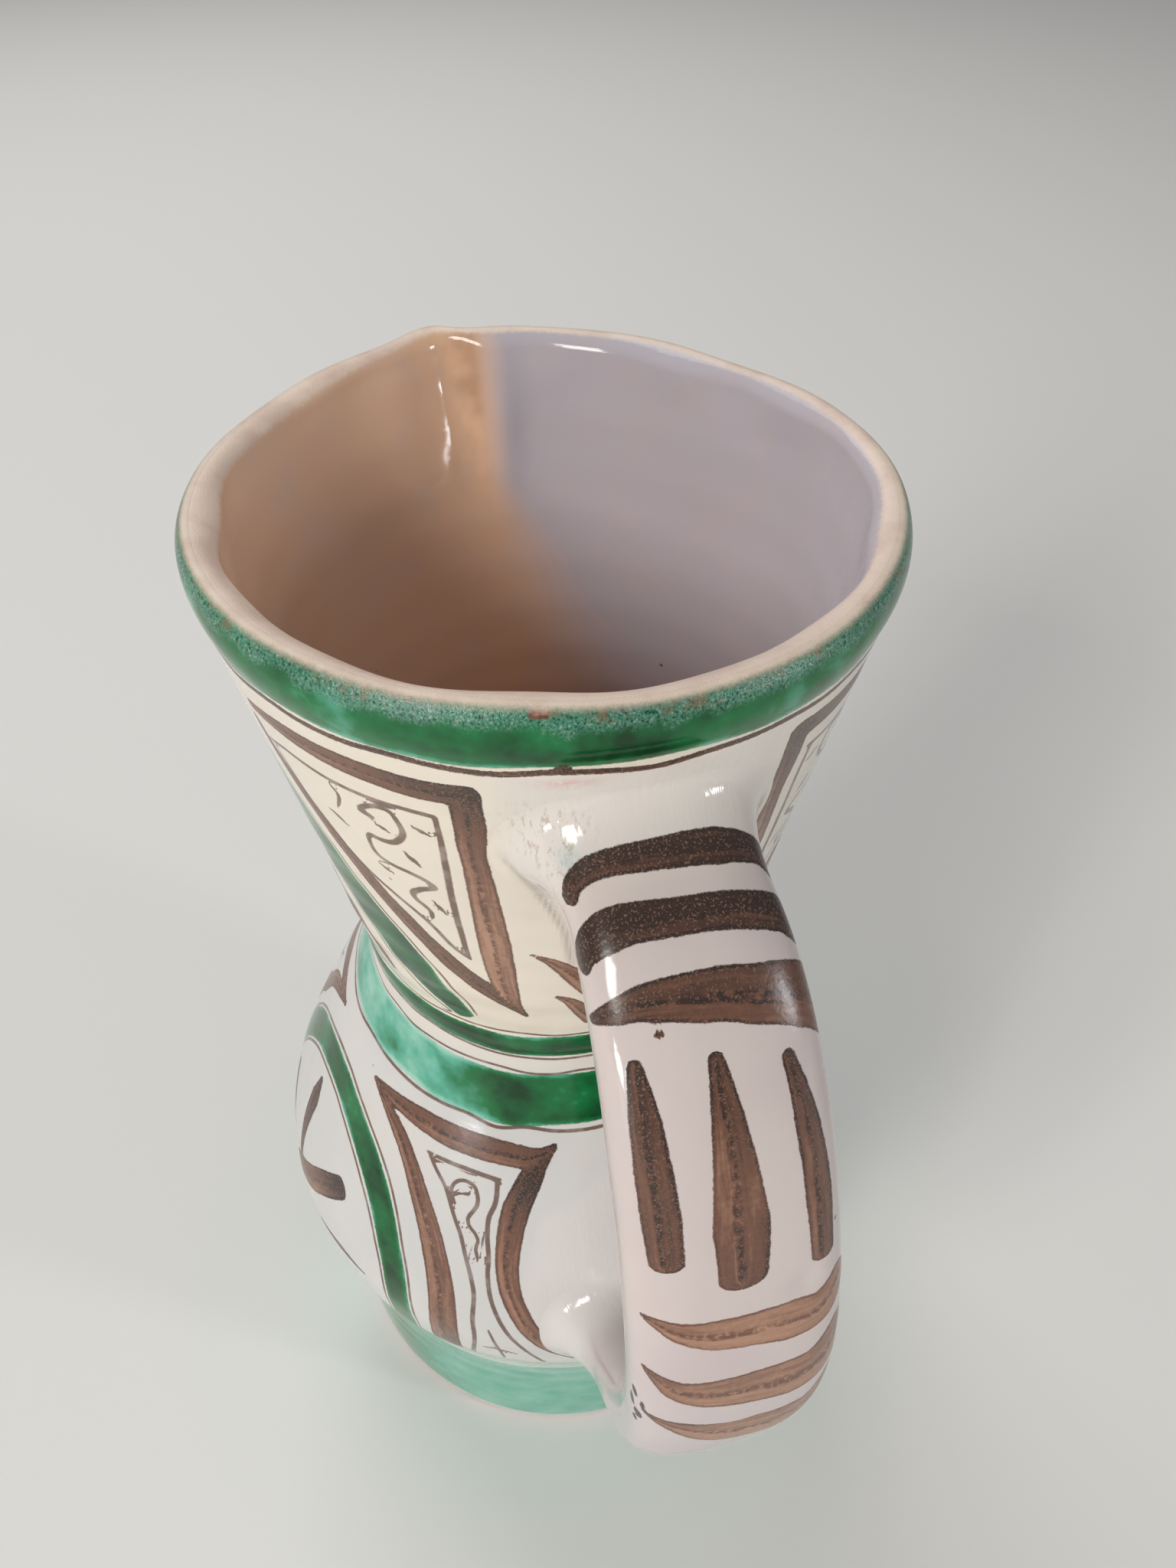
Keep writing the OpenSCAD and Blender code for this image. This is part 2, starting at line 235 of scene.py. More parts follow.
# Shape of the vessel, in millimetres
class Wheel:
    """The thrown outline, its spout and the unevenness of the potter's hand."""

    def __init__(self, vessel, bands):
        v, b = in_mm(vessel), in_mm(bands)
        self.bands = (b.rim_low, v.height), (b.waist_low, b.waist_high), (b.shoulder_low, b.shoulder_high)
        self.swell, self.height, self.wall, self.lip = b.relief, v.height, v.wall, v.lip
        self.foot_z, self.neck_z, self.floor = v.foot_height, v.neck_height, v.floor
        self.columns, self.step, self.mouth = v.columns, v.row_step, v.mouth_radius
        self.depth = v.wall + v.lining
        self.lip_z = v.height - v.lip / 2
        ankle, belly = (v.foot_height, v.ankle_radius), (v.belly_height, v.belly_radius)
        waist, mouth = (v.waist_height, v.waist_radius), (self.lip_z, v.mouth_radius)
        knots = [(0, v.foot_radius), ankle, between(ankle, belly, 0.395, 0.61), belly,
                 between(belly, waist, 0.6, 0.511), waist, between(waist, mouth, 0.3, 0.209),
                 between(waist, mouth, 0.655, 0.601), mouth]
        self.z, self.r = np.array(knots, float).T
        self.rise = np.diff(self.z)
        grade = np.diff(self.r) / self.rise
        inner = (self.rise[:-1] * grade[1:] + self.rise[1:] * grade[:-1]) / (self.rise[:-1] + self.rise[1:])
        self.slope = np.concatenate([grade[:1], inner, grade[-1:]])

    def outer(self, z):
        """Radius of the round outline at a height."""
        z = np.asarray(z, float)
        i = np.clip(np.searchsorted(self.z, z, side="right") - 1, 0, len(self.rise) - 1)
        h = self.rise[i]
        u = (z - self.z[i]) / h
        ends = self.r[i] * (1 + 2 * u) * (1 - u) ** 2 + self.r[i + 1] * u * u * (3 - 2 * u)
        return ends + h * u * (1 - u) * (self.slope[i] * (1 - u) - self.slope[i + 1] * u)

    def near_top(self, z, start, end=0.0):
        """How near a height is to the top, easing in between two distances below it."""
        return smooth(z, self.height - start, self.height - end)

    def spout(self, angle, z):
        """How far the drawn-out spout and the pressed cheek move the wall."""
        turn = turned(angle, 180)
        pour = turn - 6.5
        drawn = 4.7 * bell(turn / np.where(turn < 0, 29, 35)) - 2.2 * bell((turn + 56) / 19)
        lip = 3.2 * bell(pour / np.where(pour < 0, 4.2, 7.5))
        return self.near_top(z, 58) * drawn + self.near_top(z, 34) * lip

    def hand(self, angle, z):
        """Slow unevenness of hand-thrown work, with faint throwing rings."""
        slow = 0.3 * np.sin(2 * angle + 0.7 + z / 70) + 0.16 * np.sin(3 * angle - 1.2 - z / 45)
        rings = 0.03 * np.sin(z * 2 * np.pi / 7.3 + angle) * (1 + np.sin(z / 17))
        return (slow + rings) * smooth(z, 2, 40)

    def relief(self, z):
        """Soft swelling of the thick glaze bands."""
        total = 0.0
        for low, high in self.bands:
            share = (np.asarray(z, float) - (low + high) / 2) / ((high - low) / 2)
            total = total + self.swell * np.clip(1 - share ** 2, 0, 1)
        return total

    def radius(self, angle, z):
        return self.outer(z) + self.spout(angle, z) + self.hand(angle, z) + self.relief(z)

    def inner(self, angle, z):
        """Finger marks inside, the pinched crease of the spout and the flats pressed along the lip."""
        turn = turned(angle, 178.5)
        crease = 1.2 * bell((turn - 4) / 4) - 1.2 * bell((turn + 3) / 4)
        lumps = 0.3 * np.sin(3 * angle + z / 21) + 0.22 * np.sin(5 * angle - z / 14 + 1)
        flats = 0.35 * np.sin(9 * angle + 1) + 0.25 * np.sin(14 * angle + 3)
        rings = 0.05 * np.sin(z * 2 * np.pi / 8.1 + angle)
        return crease * self.near_top(z, 34, 10) + lumps + rings + flats * self.near_top(z, 9, 2)

    def lip_drop(self, angle, z):
        """Unevenness of the lip's height."""
        wave = 0.55 + 0.3 * np.sin(2 * angle + 1) + 0.14 * np.sin(5 * angle) + 0.1 * np.sin(11 * angle + 2)
        return self.near_top(z, 16) * wave

    def normal(self, angle, z):
        """Outward normal of the wall's outer face."""
        r = self.radius(angle, z)
        around = (self.radius(angle + 1e-3, z) - self.radius(angle - 1e-3, z)) / 2e-3 / r
        up = (self.radius(angle, z + 0.05) - self.radius(angle, z - 0.05)) / 0.1
        c, s = np.cos(angle), np.sin(angle)
        return unit(np.stack([c + around * s, s - around * c, -up], -1))

    def round_place(self, angle, z):
        """Point of the round outline at an angle and a height."""
        r = self.outer(np.clip(z, 0, self.lip_z))
        return np.stack([r * np.cos(angle), r * np.sin(angle), z], -1)

    def seat(self, y, z, sunk=0.0):
        """Point of the outer face on the handle's side at a sideways offset and a height."""
        x = np.sqrt(self.outer(z) ** 2 - y * y)
        for _ in range(3):
            x = np.sqrt((self.radius(np.arctan2(y, x), z) - sunk) ** 2 - y * y)
        return np.stack([x, y, z], -1)


# Sections of the pieces: rows of radius, height and kind
OUTSIDE, LIP, INSIDE, HIDDEN = range(4)


def wall_rows(wheel, low, high, step, depth, kind):
    return [(float(wheel.outer(z)) - depth, float(z), kind) for z in run(low, high, step)]


def cove_rows(wheel, lift, kind):
    """From the wall down through the cove to the middle of the floor, raised off the clay by a lift."""
    cove_z = wheel.floor + COVE
    cove_x = float(wheel.outer(cove_z)) - wheel.wall - COVE
    radius = COVE - lift
    turns = np.radians(np.linspace(0, -90, 12))
    rows = [(cove_x + radius * math.cos(a), cove_z + radius * math.sin(a), kind) for a in turns]
    return rows + [(float(r), wheel.floor + lift, kind) for r in run(cove_x, 0, 3)[1:]]


def neck_section(wheel):
    half = wheel.lip / 2
    start = wheel.height - LIP_ROLL
    rows = wall_rows(wheel, wheel.neck_z, start, wheel.step, 0, OUTSIDE)
    for a in np.radians(np.linspace(0, 90, 15))[1:]:
        z = start + LIP_ROLL * math.sin(a)
        rows.append((float(wheel.outer(z)) - half * (1 - math.cos(a)), z, OUTSIDE))
    crest, inner = rows[-1][0], wheel.mouth - wheel.lip
    for a in np.radians(np.linspace(90, 180, 10))[1:]:
        rows.append((crest + (crest - inner) * math.cos(a), wheel.lip_z + half * math.sin(a), LIP))
    for z in run(wheel.lip_z, wheel.neck_z, 1.6)[1:]:
        depth = wheel.lip + (wheel.depth - wheel.lip) * float(smooth(z, wheel.lip_z, wheel.lip_z - 14))
        rows.append((float(wheel.outer(z)) - depth, float(z), INSIDE))
    return rows + [rows[0][:2] + (HIDDEN,)]


def belly_section(wheel):
    rows = wall_rows(wheel, wheel.foot_z, wheel.neck_z, wheel.step, 0, OUTSIDE)
    rows += wall_rows(wheel, wheel.neck_z, wheel.floor + COVE, 1.8, wheel.depth, INSIDE)
    rows += cove_rows(wheel, wheel.depth - wheel.wall, INSIDE)[1:]
    rows += cove_rows(wheel, 0, HIDDEN)[::-1]
    rows += wall_rows(wheel, wheel.floor + COVE, wheel.foot_z, 4, wheel.wall, HIDDEN)[1:]
    return rows + [rows[0][:2] + (HIDDEN,)]


def foot_section(wheel):
    rows = [(float(r), 0.0, OUTSIDE) for r in run(0, float(wheel.outer(0)) - FOOT_BEVEL, 3)]
    for a in np.radians(np.linspace(-90, 0, 7))[1:]:
        z = FOOT_BEVEL + FOOT_BEVEL * math.sin(a)
        rows.append((float(wheel.outer(z)) - FOOT_BEVEL + FOOT_BEVEL * math.cos(a), z, OUTSIDE))
    rows += wall_rows(wheel, FOOT_BEVEL, wheel.foot_z, wheel.step, 0, OUTSIDE)[1:]
    rows += wall_rows(wheel, wheel.foot_z, wheel.floor + COVE, 3, wheel.wall - HIDDEN_GAP, HIDDEN)
    return rows + cove_rows(wheel, -HIDDEN_GAP, HIDDEN)


# Node trees
def sums(operation):
    """A method that adds a math node, and one for when the value comes second."""
    return (lambda self, *other: self.nodes.math(operation, self, *other),
            lambda self, other: self.nodes.math(operation, other, self))


class Value:
    """A node's output, with sums that add further nodes to its tree."""

    def __init__(self, nodes, socket):
        self.nodes, self.socket = nodes, socket

    __add__, __radd__ = sums("ADD")
    __sub__, __rsub__ = sums("SUBTRACT")
    __mul__, __truediv__, __mod__ = sums("MULTIPLY")[0], sums("DIVIDE")[0], sums("MODULO")[0]
    __abs__ = sums("ABSOLUTE")[0]


class Nodes:
    """Short calls that add nodes to a tree."""

    def __init__(self, tree):
        self.tree = tree

    def put(self, socket, value):
        if isinstance(value, Value):
            self.tree.links.new(value.socket, socket)
        elif isinstance(value, (int, float)):
            socket.default_value = value
        else:
            socket.default_value = tuple(value) + (1,) if len(socket.default_value) == 4 else tuple(value)

    def node(self, kind, inputs=(), **choices):
        """A new node with its choices made and its inputs filled, by name or number."""
        node = self.tree.nodes.new(kind)
        for name, choice in choices.items():
            setattr(node, name, choice)
        for name, value in dict(inputs).items():
            self.put(node.inputs[name], value)
        return node

    def value(self, kind, inputs=(), output=0, **choices):
        return Value(self, self.node(kind, inputs, **choices).outputs[output])

    def math(self, operation, *values):
        return self.value("ShaderNodeMath", enumerate(values), operation=operation)


# Turning a section on the wheel with Geometry Nodes
def wheel_tree():
    """Turns the points of a section about Z: one mesh column per step round, one row per point."""
    if "turn_on_wheel" in bpy.data.node_groups:
        return bpy.data.node_groups["turn_on_wheel"]
    tree = bpy.data.node_groups.new("turn_on_wheel", "GeometryNodeTree")
    for name, kind in (("Section", "Geometry"), ("Columns", "Int"), ("Weld", "Float"), ("Glaze", "Material")):
        tree.interface.new_socket(name=name, in_out="INPUT", socket_type="NodeSocket" + kind)
    tree.interface.new_socket(name="Wall", in_out="OUTPUT", socket_type="NodeSocketGeometry")
    n = Nodes(tree)
    section, columns, weld, glaze = [Value(n, socket) for socket in n.node("NodeGroupInput").outputs[:4]]
    rows = n.value("GeometryNodeAttributeDomainSize", {"Geometry": section}, "Point Count")
    grid = n.value("GeometryNodeMeshGrid", {"Vertices X": columns + 1, "Vertices Y": rows}, "Mesh")
    index, place = n.value("GeometryNodeInputIndex"), n.value("GeometryNodeInputPosition")
    turn = n.math("FLOOR", (index + 0.5) / rows) * (2 * math.pi) / columns
    source = {"Geometry": section, "Value": place, "Index": index % rows}
    point = n.value("GeometryNodeSampleIndex", source, "Value", data_type="FLOAT_VECTOR", domain="POINT")
    out = n.value("ShaderNodeSeparateXYZ", {0: point}, 0)
    up = n.value("ShaderNodeSeparateXYZ", {0: point}, 2)
    spot = {0: out * n.math("COSINE", turn), 1: out * n.math("SINE", turn), 2: up}
    moved = {"Geometry": grid, "Position": n.value("ShaderNodeCombineXYZ", spot)}
    wall = n.value("GeometryNodeSetPosition", moved)
    wall = n.value("GeometryNodeMergeByDistance", {"Geometry": wall, "Distance": weld})
    wall = n.value("GeometryNodeRealizeInstances", {0: wall})
    wall = n.value("GeometryNodeSetMaterial", {"Geometry": wall, "Material": glaze})
    n.node("NodeGroupOutput", {0: wall})
    return tree


def placed(name, data):
    """A new object in the scene."""
    thing = bpy.data.objects.new(name, data)
    bpy.context.scene.collection.objects.link(thing)
    return thing


def turn_piece(name, rows, columns, material):
    """The turned mesh of a section as a plain object, with each vertex's row number."""
    points = bpy.data.meshes.new(name)
    points.from_pydata([(r * MM, 0, z * MM) for r, z, _ in rows], [], [])
    piece = placed(name, points)
    modifier = piece.modifiers.new("turn", "NODES")
    modifier.node_group = wheel_tree()
    sockets = {s.name: s.identifier for s in modifier.node_group.interface.items_tree if s.in_out == "INPUT"}
    modifier[sockets["Columns"]] = columns
    modifier[sockets["Weld"]] = 1e-6
    modifier[sockets["Glaze"]] = material
    mesh = bpy.data.meshes.new_from_object(piece.evaluated_get(bpy.context.evaluated_depsgraph_get()))
    piece.modifiers.remove(modifier)
    piece.data = mesh
    mesh.name = name
    mesh.materials.clear()
    mesh.materials.append(material)
    mesh.polygons.foreach_set("material_index", [0] * len(mesh.polygons))
    if not mesh.polygons:
        raise RuntimeError("the wheel gave no faces for " + name)
    clean_mesh(mesh)
    co = vertices(mesh)
    place = np.stack([np.hypot(co[:, 0], co[:, 1]), co[:, 2]], -1)
    shown = np.array([k for k, row in enumerate(rows) if row[2] != HIDDEN])
    section = np.array([rows[k][:2] for k in shown])
    row = np.full(len(co), -1)
    for ids in batches(np.arange(len(co))):
        gap = np.hypot(*(place[ids].T[:, :, None] - section.T[:, None, :]))
        found = gap.min(1) < 2e-3
        row[ids[found]] = shown[gap.argmin(1)[found]]
    return piece, co, row


def clean_mesh(mesh):
    """Removes loose edges, and turns the faces outwards."""
    edit = bmesh.new()
    edit.from_mesh(mesh)
    bmesh.ops.delete(edit, geom=[e for e in edit.edges if not e.link_faces], context="EDGES")
    bmesh.ops.delete(edit, geom=[v for v in edit.verts if not v.link_faces], context="VERTS")
    if edit.calc_volume(signed=True) < 0:
        bmesh.ops.reverse_faces(edit, faces=edit.faces[:])
    edit.to_mesh(mesh)
    edit.free()
    mesh.polygons.foreach_set("use_smooth", [True] * len(mesh.polygons))


def vertices(mesh):
    flat = np.zeros(len(mesh.vertices) * 3, np.float32)
    mesh.vertices.foreach_get("co", flat)
    return flat.reshape(-1, 3).astype(float) / MM


def store(mesh, **marks):
    for name, values in marks.items():
        attribute = mesh.attributes.new(name, "FLOAT", "POINT")
        attribute.data.foreach_set("value", np.asarray(values, np.float32))


def throw_piece(name, rows, wheel, material):
    """Turns a section, then gives it the spout, the hand's unevenness and the lip's wave."""
    piece, co, row = turn_piece(name, rows, wheel.columns, material)
    kind = np.where(row >= 0, np.array([r[2] for r in rows])[np.maximum(row, 0)], HIDDEN)
    angle, z = np.arctan2(co[:, 1], co[:, 0]), co[:, 2]
    r = np.hypot(co[:, 0], co[:, 1])
    near_wall = smooth(r / wheel.outer(np.clip(z, 0, wheel.lip_z)), 0.3, 0.85)
    section = np.array([place[:2] for place in rows])
    way = walked(section)
    from_lip = (way[section[:, 1].argmax()] - way)[np.maximum(row, 0)]
    fingers = ((kind == INSIDE) | (kind == LIP)) * smooth(from_lip, 0, -5)
    move = wheel.spout(angle, z) + wheel.hand(angle, z) + wheel.inner(angle, z) * fingers
    r = r + move * near_wall + wheel.relief(z) * (kind == OUTSIDE)
    moved = np.stack([r * np.cos(angle), r * np.sin(angle), z - wheel.lip_drop(angle, z)], -1)
    piece.data.vertices.foreach_set("co", (moved * MM).astype(np.float32).ravel())
    piece.data.update()
    normals = np.zeros_like(co)
    plain = (kind == OUTSIDE) & (z < wheel.height - 17) & (z > PAINT_START)
    normals[plain] = wheel.normal(angle[plain], z[plain])
    piece.data.normals_split_custom_set_from_vertices(normals.tolist())
    return piece, angle, z, kind, from_lip


# Brush strokes: control points, half widths at even steps along them, and tones likewise
class Stroke:
    def __init__(self, kind, points, half, tone=(0.5, 0.5)):
        self.kind, self.points, self.half, self.tone = kind, np.array(points, float), half, tone


def swept(points, steps=14):
    """Catmull-Rom curve through control points."""
    p = np.vstack([2 * points[0] - points[1], points, 2 * points[-1] - points[-2]])
    u = np.linspace(0, 1, steps, endpoint=False)[:, None]
    parts = []
    for a, b, c, d in zip(p[:-3], p[1:-2], p[2:-1], p[3:]):
        bend = (2 * a - 5 * b + 4 * c - d) * u * u + (3 * b - a - 3 * c + d) * u ** 3
        parts.append(0.5 * (2 * b + (c - a) * u + bend))
    return np.vstack(parts + [points[-1:]])


class Brush:
    """Collects the distances from a piece's vertices to the strokes laid on it, and their tones there."""

    blank = {"brown_d": FAR, "brown_u": 0.0, "brown_v": 0.0, "brown_tone": 0.5,
             "fine_u": FAR, "fine_abs": FAR, "green_d": FAR, "green_tone": 0.6}

    def __init__(self, places, painted):
        self.places, self.painted, self.laid = places, painted, 0
        self.marks = {name: np.full(len(places), value) for name, value in self.blank.items()}

    def lay(self, stroke, to_surface):
        """Lays a stroke whose control points become places and normals through to_surface."""
        path, out = to_surface(swept(stroke.points))
        way = walked(path)
        even = np.linspace(0, way[-1], max(3, int(way[-1] / STROKE_STEP)))
        path, out = [np.stack([np.interp(even, way, line) for line in lines.T], -1) for lines in (path, out)]
        ahead = np.gradient(path, axis=0)
        share = even / max(way[-1], 1e-6)
        half = along(share, stroke.half)
        reach = half.max() + STROKE_REACH
        low, high = path.min(0) - reach, path.max(0) + reach
        near = np.where(self.painted & ((self.places > low) & (self.places < high)).all(1))[0]
        self.laid += 1
        ways = unit(np.cross(out, ahead)), unit(ahead)
        for ids in batches(near):
            self.measure(ids, stroke.kind, path, ways, half, even, along(share, stroke.tone))

    def measure(self, ids, kind, path, ways, half, even, tone):
        """Keeps how far the nearest point of a stroke is, where it lies across and along it, and its tone."""
        away = self.places[ids][:, None, :] - path[None]
        square = np.einsum("ijk,ijk->ij", away, away)
        best = square.argmin(1)
        away = away[np.arange(len(ids)), best]
        across, beyond = [np.einsum("ik,ik->i", away, way[best]) for way in ways]
        gap, half, tone = np.sqrt(square.min(1)), half[best], tone[best]
        inner = (best > 0) & (best < len(path) - 1)
        edge = np.where(inner, gap, np.hypot(gap, 1.4 * beyond)) - half
        side = np.where(inner, across, np.where(across < 0, -gap, gap)) / half
        far_along = even[best] + STROKE_SHIFT * self.laid
        found = {"brown": {"brown_d": edge, "brown_u": side, "brown_v": far_along, "brown_tone": tone},
                 "green": {"green_d": edge, "green_tone": tone},
                 "fine": {"fine_abs": gap, "fine_u": side}}[kind]
        self.keep(ids, **found)

    def band(self, low, high, tone):
        """Lays a band of green glaze between two heights."""
        z = self.places[self.painted, 2]
        low, high, tone = [np.broadcast_to(v, len(self.places))[self.painted] for v in (low, high, tone)]
        self.keep(np.where(self.painted)[0], green_d=np.maximum(low - z, z - high), green_tone=tone)

    def keep(self, ids, **found):
        """Keeps what was found where its first measure is the smallest so far."""
        first = next(iter(found))
        win = found[first] < self.marks[first][ids]
        for name, values in found.items():
            self.marks[name][ids[win]] = values[win]


# The painter's pattern: degrees from the handle, height in millimetres
PANEL_OUTLINE = (0.38, 0.45, 0.5)
NECK_QUARTER = (
    ("green", [(-90.3, 188.6), (-86, 183.6), (-80, 177), (-73.5, 170), (-68.5, 164), (-65.4, 159.5),
     (-62.5, 156.4), (-57.5, 151.2), (-52, 145.6), (-46.7, 139.5), (-42, 135.5), (-39, 132.5)],
     (5.0, 5.0, 4.9, 4.8, 4.55, 2.2), (0.72, 0.82, 0.9)),
    ("brown", [(-69, 193.4), (-60, 194), (-50, 194), (-42.5, 194), (-36, 193.8), (-30, 193.9), (-26, 194.2)],
     (0.8, 1.6, 1.9, 2.0, 2.0), (0.35, 0.4, 0.5, 0.85)),
    ("brown", [(-27.3, 194.6), (-27.1, 187.5), (-27.5, 182.3), (-27.2, 177), (-26.9, 168), (-26.6, 159),
     (-26.2, 150), (-25, 142.5), (-22.1, 137)], (2.1, 2.1, 1.75, 2.0, 2.2, 2.4, 2.3, 1.8, 0.4),
     (0.75, 0.4, 0.2, 0.1, 0.1, 0.3)),
    ("brown", [(-70, 190.5), (-68, 185), (-64, 179), (-60, 174), (-56.8, 169.8), (-53.5, 166), (-50.2, 162),
     (-46.2, 157.9), (-42, 153.5), (-37, 148.9), (-29, 143), (-24, 139), (-21.6, 136.8)],
     (0.6, 1.3, 1.7, 1.8, 1.9, 2.0, 0.4), (0.4, 0.4, 0.55)),
    ("fine", [(-67, 187.6), (-61.5, 188.6), (-52, 188.4), (-44, 188.4), (-37, 188.6), (-32.5, 188.5)],
     PANEL_OUTLINE),
    ("fine", [(-32.5, 188.5), (-32.5, 183), (-32.8, 177), (-33.3, 167), (-33.2, 158), (-33, 152.8)],
     (0.45, 0.6, 0.6, 0.5)),
    ("fine", [(-66, 186), (-62.5, 179.5), (-58, 173.5), (-52, 168), (-46.7, 164.7), (-42.8, 162.2),
     (-39.3, 159), (-36, 155), (-33, 152.8)], PANEL_OUTLINE),
    ("fine", [(-45, 184), (-46.9, 184.6), (-44.2, 186.6), (-41, 187), (-39.8, 185.5), (-39.3, 182.5),
     (-41.6, 179.7), (-44.5, 178.9), (-46.9, 179), (-47.7, 177.4), (-47.2, 174.6), (-44.5, 173.3),
     (-40.8, 172.9), (-37.9, 172.2), (-36.2, 170.9), (-39, 169.5), (-41.6, 167.6), (-41.5, 166),
     (-39.9, 164.8), (-38.8, 163.6), (-39, 162)], (0.6, 0.5, 0.62, 0.45, 0.5, 0.62, 0.45)),
    ("fine", [(-36.7, 184.8), (-34.6, 184)], (0.3, 0.5, 0.3)),
    ("fine", [(-40, 177.6), (-38.2, 175.8)], (0.4, 0.7, 0.4)),
    ("fine", [(-44.1, 182.4), (-42.6, 181.9)], (0.3, 0.42, 0.3)),
    ("fine", [(-47.1, 171.9), (-45.4, 171)], (0.3, 0.45, 0.3)),
    ("fine", [(-37.3, 166.6), (-35.6, 164.6)], (0.3, 0.55, 0.3)),
    ("fine", [(-55, 180), (-52.3, 178.6)], (0.3, 0.42, 0.3)),
    ("fine", [(-51.8, 187), (-51, 185.3), (-52.4, 182.4)], (0.3, 0.4, 0.3)),
    ("brown", [(-61.5, 134.2), (-67, 138.7), (-71, 142.4), (-77, 148.4), (-83.5, 155.4), (-90.6, 163)],
     (0.5, 2.1, 2.3, 2.2, 2.0, 1.7), (0.5, 0.35)),
    ("brown", [(-70, 134.4), (-80, 134.6), (-91, 134.6)], (0.5, 1.6, 1.8), (0.35, 0.5)),
    ("fine", [(-74.5, 139.4), (-82, 139.2), (-90.8, 139.4)], PANEL_OUTLINE),
    ("fine", [(-74.5, 139.4), (-79, 144), (-84.5, 150), (-90.4, 156.6)], PANEL_OUTLINE),
)
NECK_SIDE = (
    ("brown", [(-19.4, 156.6), (-15, 154.3), (-10.7, 150.4), (-6, 145.5)], (0.2, 1.2, 1.8, 2.1), (0.15, 0.3)),
    ("brown", [(-15, 144.1), (-11.2, 142.2), (-8.3, 138.9), (-5, 135)], (0.2, 1.1, 1.6, 1.8), (0.15, 0.3)),
    ("fine", [(-97.5, 142), (-95, 145.4), (-92, 142.2), (-89, 145.2), (-91, 148.4), (-88.6, 150.6),
     (-86.2, 147.6), (-83.4, 142.6)], (0.4, 0.55, 0.45, 0.55, 0.4)),
)
BELLY_SIDE = (
    ("green", [(-113.5, 45), (-114, 57), (-112.5, 69), (-109, 79.5), (-104, 86.5), (-96.5, 92), (-87, 95),
     (-78, 95.5), (-71, 94), (-65.6, 91.9), (-60.7, 89.1), (-56.6, 85.7), (-53.3, 81.7), (-50.7, 77),
     (-48.5, 71.5), (-47.4, 64.5), (-47, 55), (-47.8, 45)], (2.7, 2.6, 3.0, 3.2, 3.3, 3.3, 2.8, 2.6, 2.8),
     (0.85, 0.8, 0.85)),
    ("brown", [(-86.2, 88.4), (-85.8, 84), (-85.6, 78.4), (-85, 74), (-84, 69)], (0.5, 2.0, 1.7, 1.2, 0.8),
     (0.85, 0.5)),
    ("brown", [(-85, 65), (-78, 69), (-72.6, 73.2), (-68.5, 76.3), (-66, 78.3)], (2.4, 2.6, 2.7, 2.7, 2.4),
     (0.4, 0.4, 0.95)),
    ("brown", [(-72, 62.2), (-63.2, 63), (-55.8, 62.4)], (0.4, 0.8, 0.3), (0.5, 0.6)),
    ("brown", [(-94, 65), (-98, 69.5), (-103, 74)], (2.2, 2.4, 1.6), (0.3, 0.8)),
    ("brown", [(-96, 59.6), (-101, 61.4), (-107, 62.4)], (0.4, 0.9, 0.3), (0.5, 0.6)),
)
CARTOUCHE = (
    ("brown", [(-67.2, 103.4), (-61.3, 101.6), (-57, 100), (-52.7, 97.7), (-49.2, 94.4), (-45.9, 90.3),
     (-42.9, 86), (-40.9, 82.3), (-38.9, 77.2), (-37.6, 71.4), (-37.2, 63.6), (-37.6, 51.4)],
     (0.4, 1.6, 2.0, 2.4, 2.7, 2.9, 3.0), (0.35, 0.4, 0.3, 0.3, 0.45)),
    ("brown", [(-67.2, 103.4), (-56.6, 103.5), (-49.6, 103.6), (-43.2, 103.5), (-36, 103.5), (-29, 103.4),
     (-22.6, 103.2), (-18.8, 103.8), (-15, 105.4)], (0.4, 1.4, 2.1, 2.4, 2.4, 2.2, 0.4),
     (0.35, 0.4, 0.45, 0.45, 0.6)),
    ("brown", [(-15.2, 105.3), (-17.2, 103.8), (-19.9, 101), (-21.9, 97.7), (-23.8, 93.4), (-24.7, 89),
     (-25, 84.7), (-24.8, 80.4), (-23.8, 75.9), (-22.1, 71.6), (-20.1, 67.4), (-17.4, 63.2), (-14.4, 59.6),
     (-10, 54.5)], (0.4, 2.1, 2.4, 2.2, 2.0, 1.9, 1.8, 1.6, 0.7), (0.5, 0.95, 0.5, 0.3, 0.3, 0.3, 0.35, 0.5)),
    ("fine", [(-45.4, 98.9), (-40.3, 99), (-35, 99), (-28.2, 98.6)], PANEL_OUTLINE),
    ("fine", [(-45.4, 98.9), (-42.8, 96.6), (-39.9, 93.9), (-37.1, 89.3), (-35.1, 86.1), (-33.5, 82.2),
     (-31.9, 78), (-31.1, 74), (-31.2, 68.5), (-31, 61), (-32.4, 50.4)], (0.42, 0.46, 0.52, 0.5)),
    ("fine", [(-28.2, 98.6), (-28.3, 94.3), (-29.5, 90.9), (-29.4, 87), (-28.8, 83.4), (-28.7, 79.5),
     (-27.9, 75), (-26.5, 70.7), (-24.4, 65.8), (-21.5, 60.4), (-17.9, 53)], (0.52, 0.5, 0.5, 0.45)),
    ("fine", [(-37.6, 92.2), (-38.6, 94), (-37.8, 95.9), (-35.8, 96.8), (-33.4, 96.3), (-32.4, 94.6),
     (-32.3, 92.8), (-33.2, 91.2), (-34, 89.8), (-33.4, 88.3), (-32.1, 87.3), (-31.3, 86), (-31.6, 84.4),
     (-31, 82.4)], (0.38, 0.4, 0.45, 0.38, 0.38)),
    ("fine", [(-37.2, 93.8), (-36.6, 94)], (0.4, 0.5, 0.4)),
    ("fine", [(-35.2, 94.3), (-34.5, 94.5)], (0.4, 0.5, 0.4)),
    ("fine", [(-28, 65.5), (-26.6, 59.5), (-25.6, 53.5)], (0.3, 0.42, 0.3)),
    ("fine", [(-29, 58), (-26.5, 58.4), (-23.4, 57.4)], (0.3, 0.42, 0.3)),
)
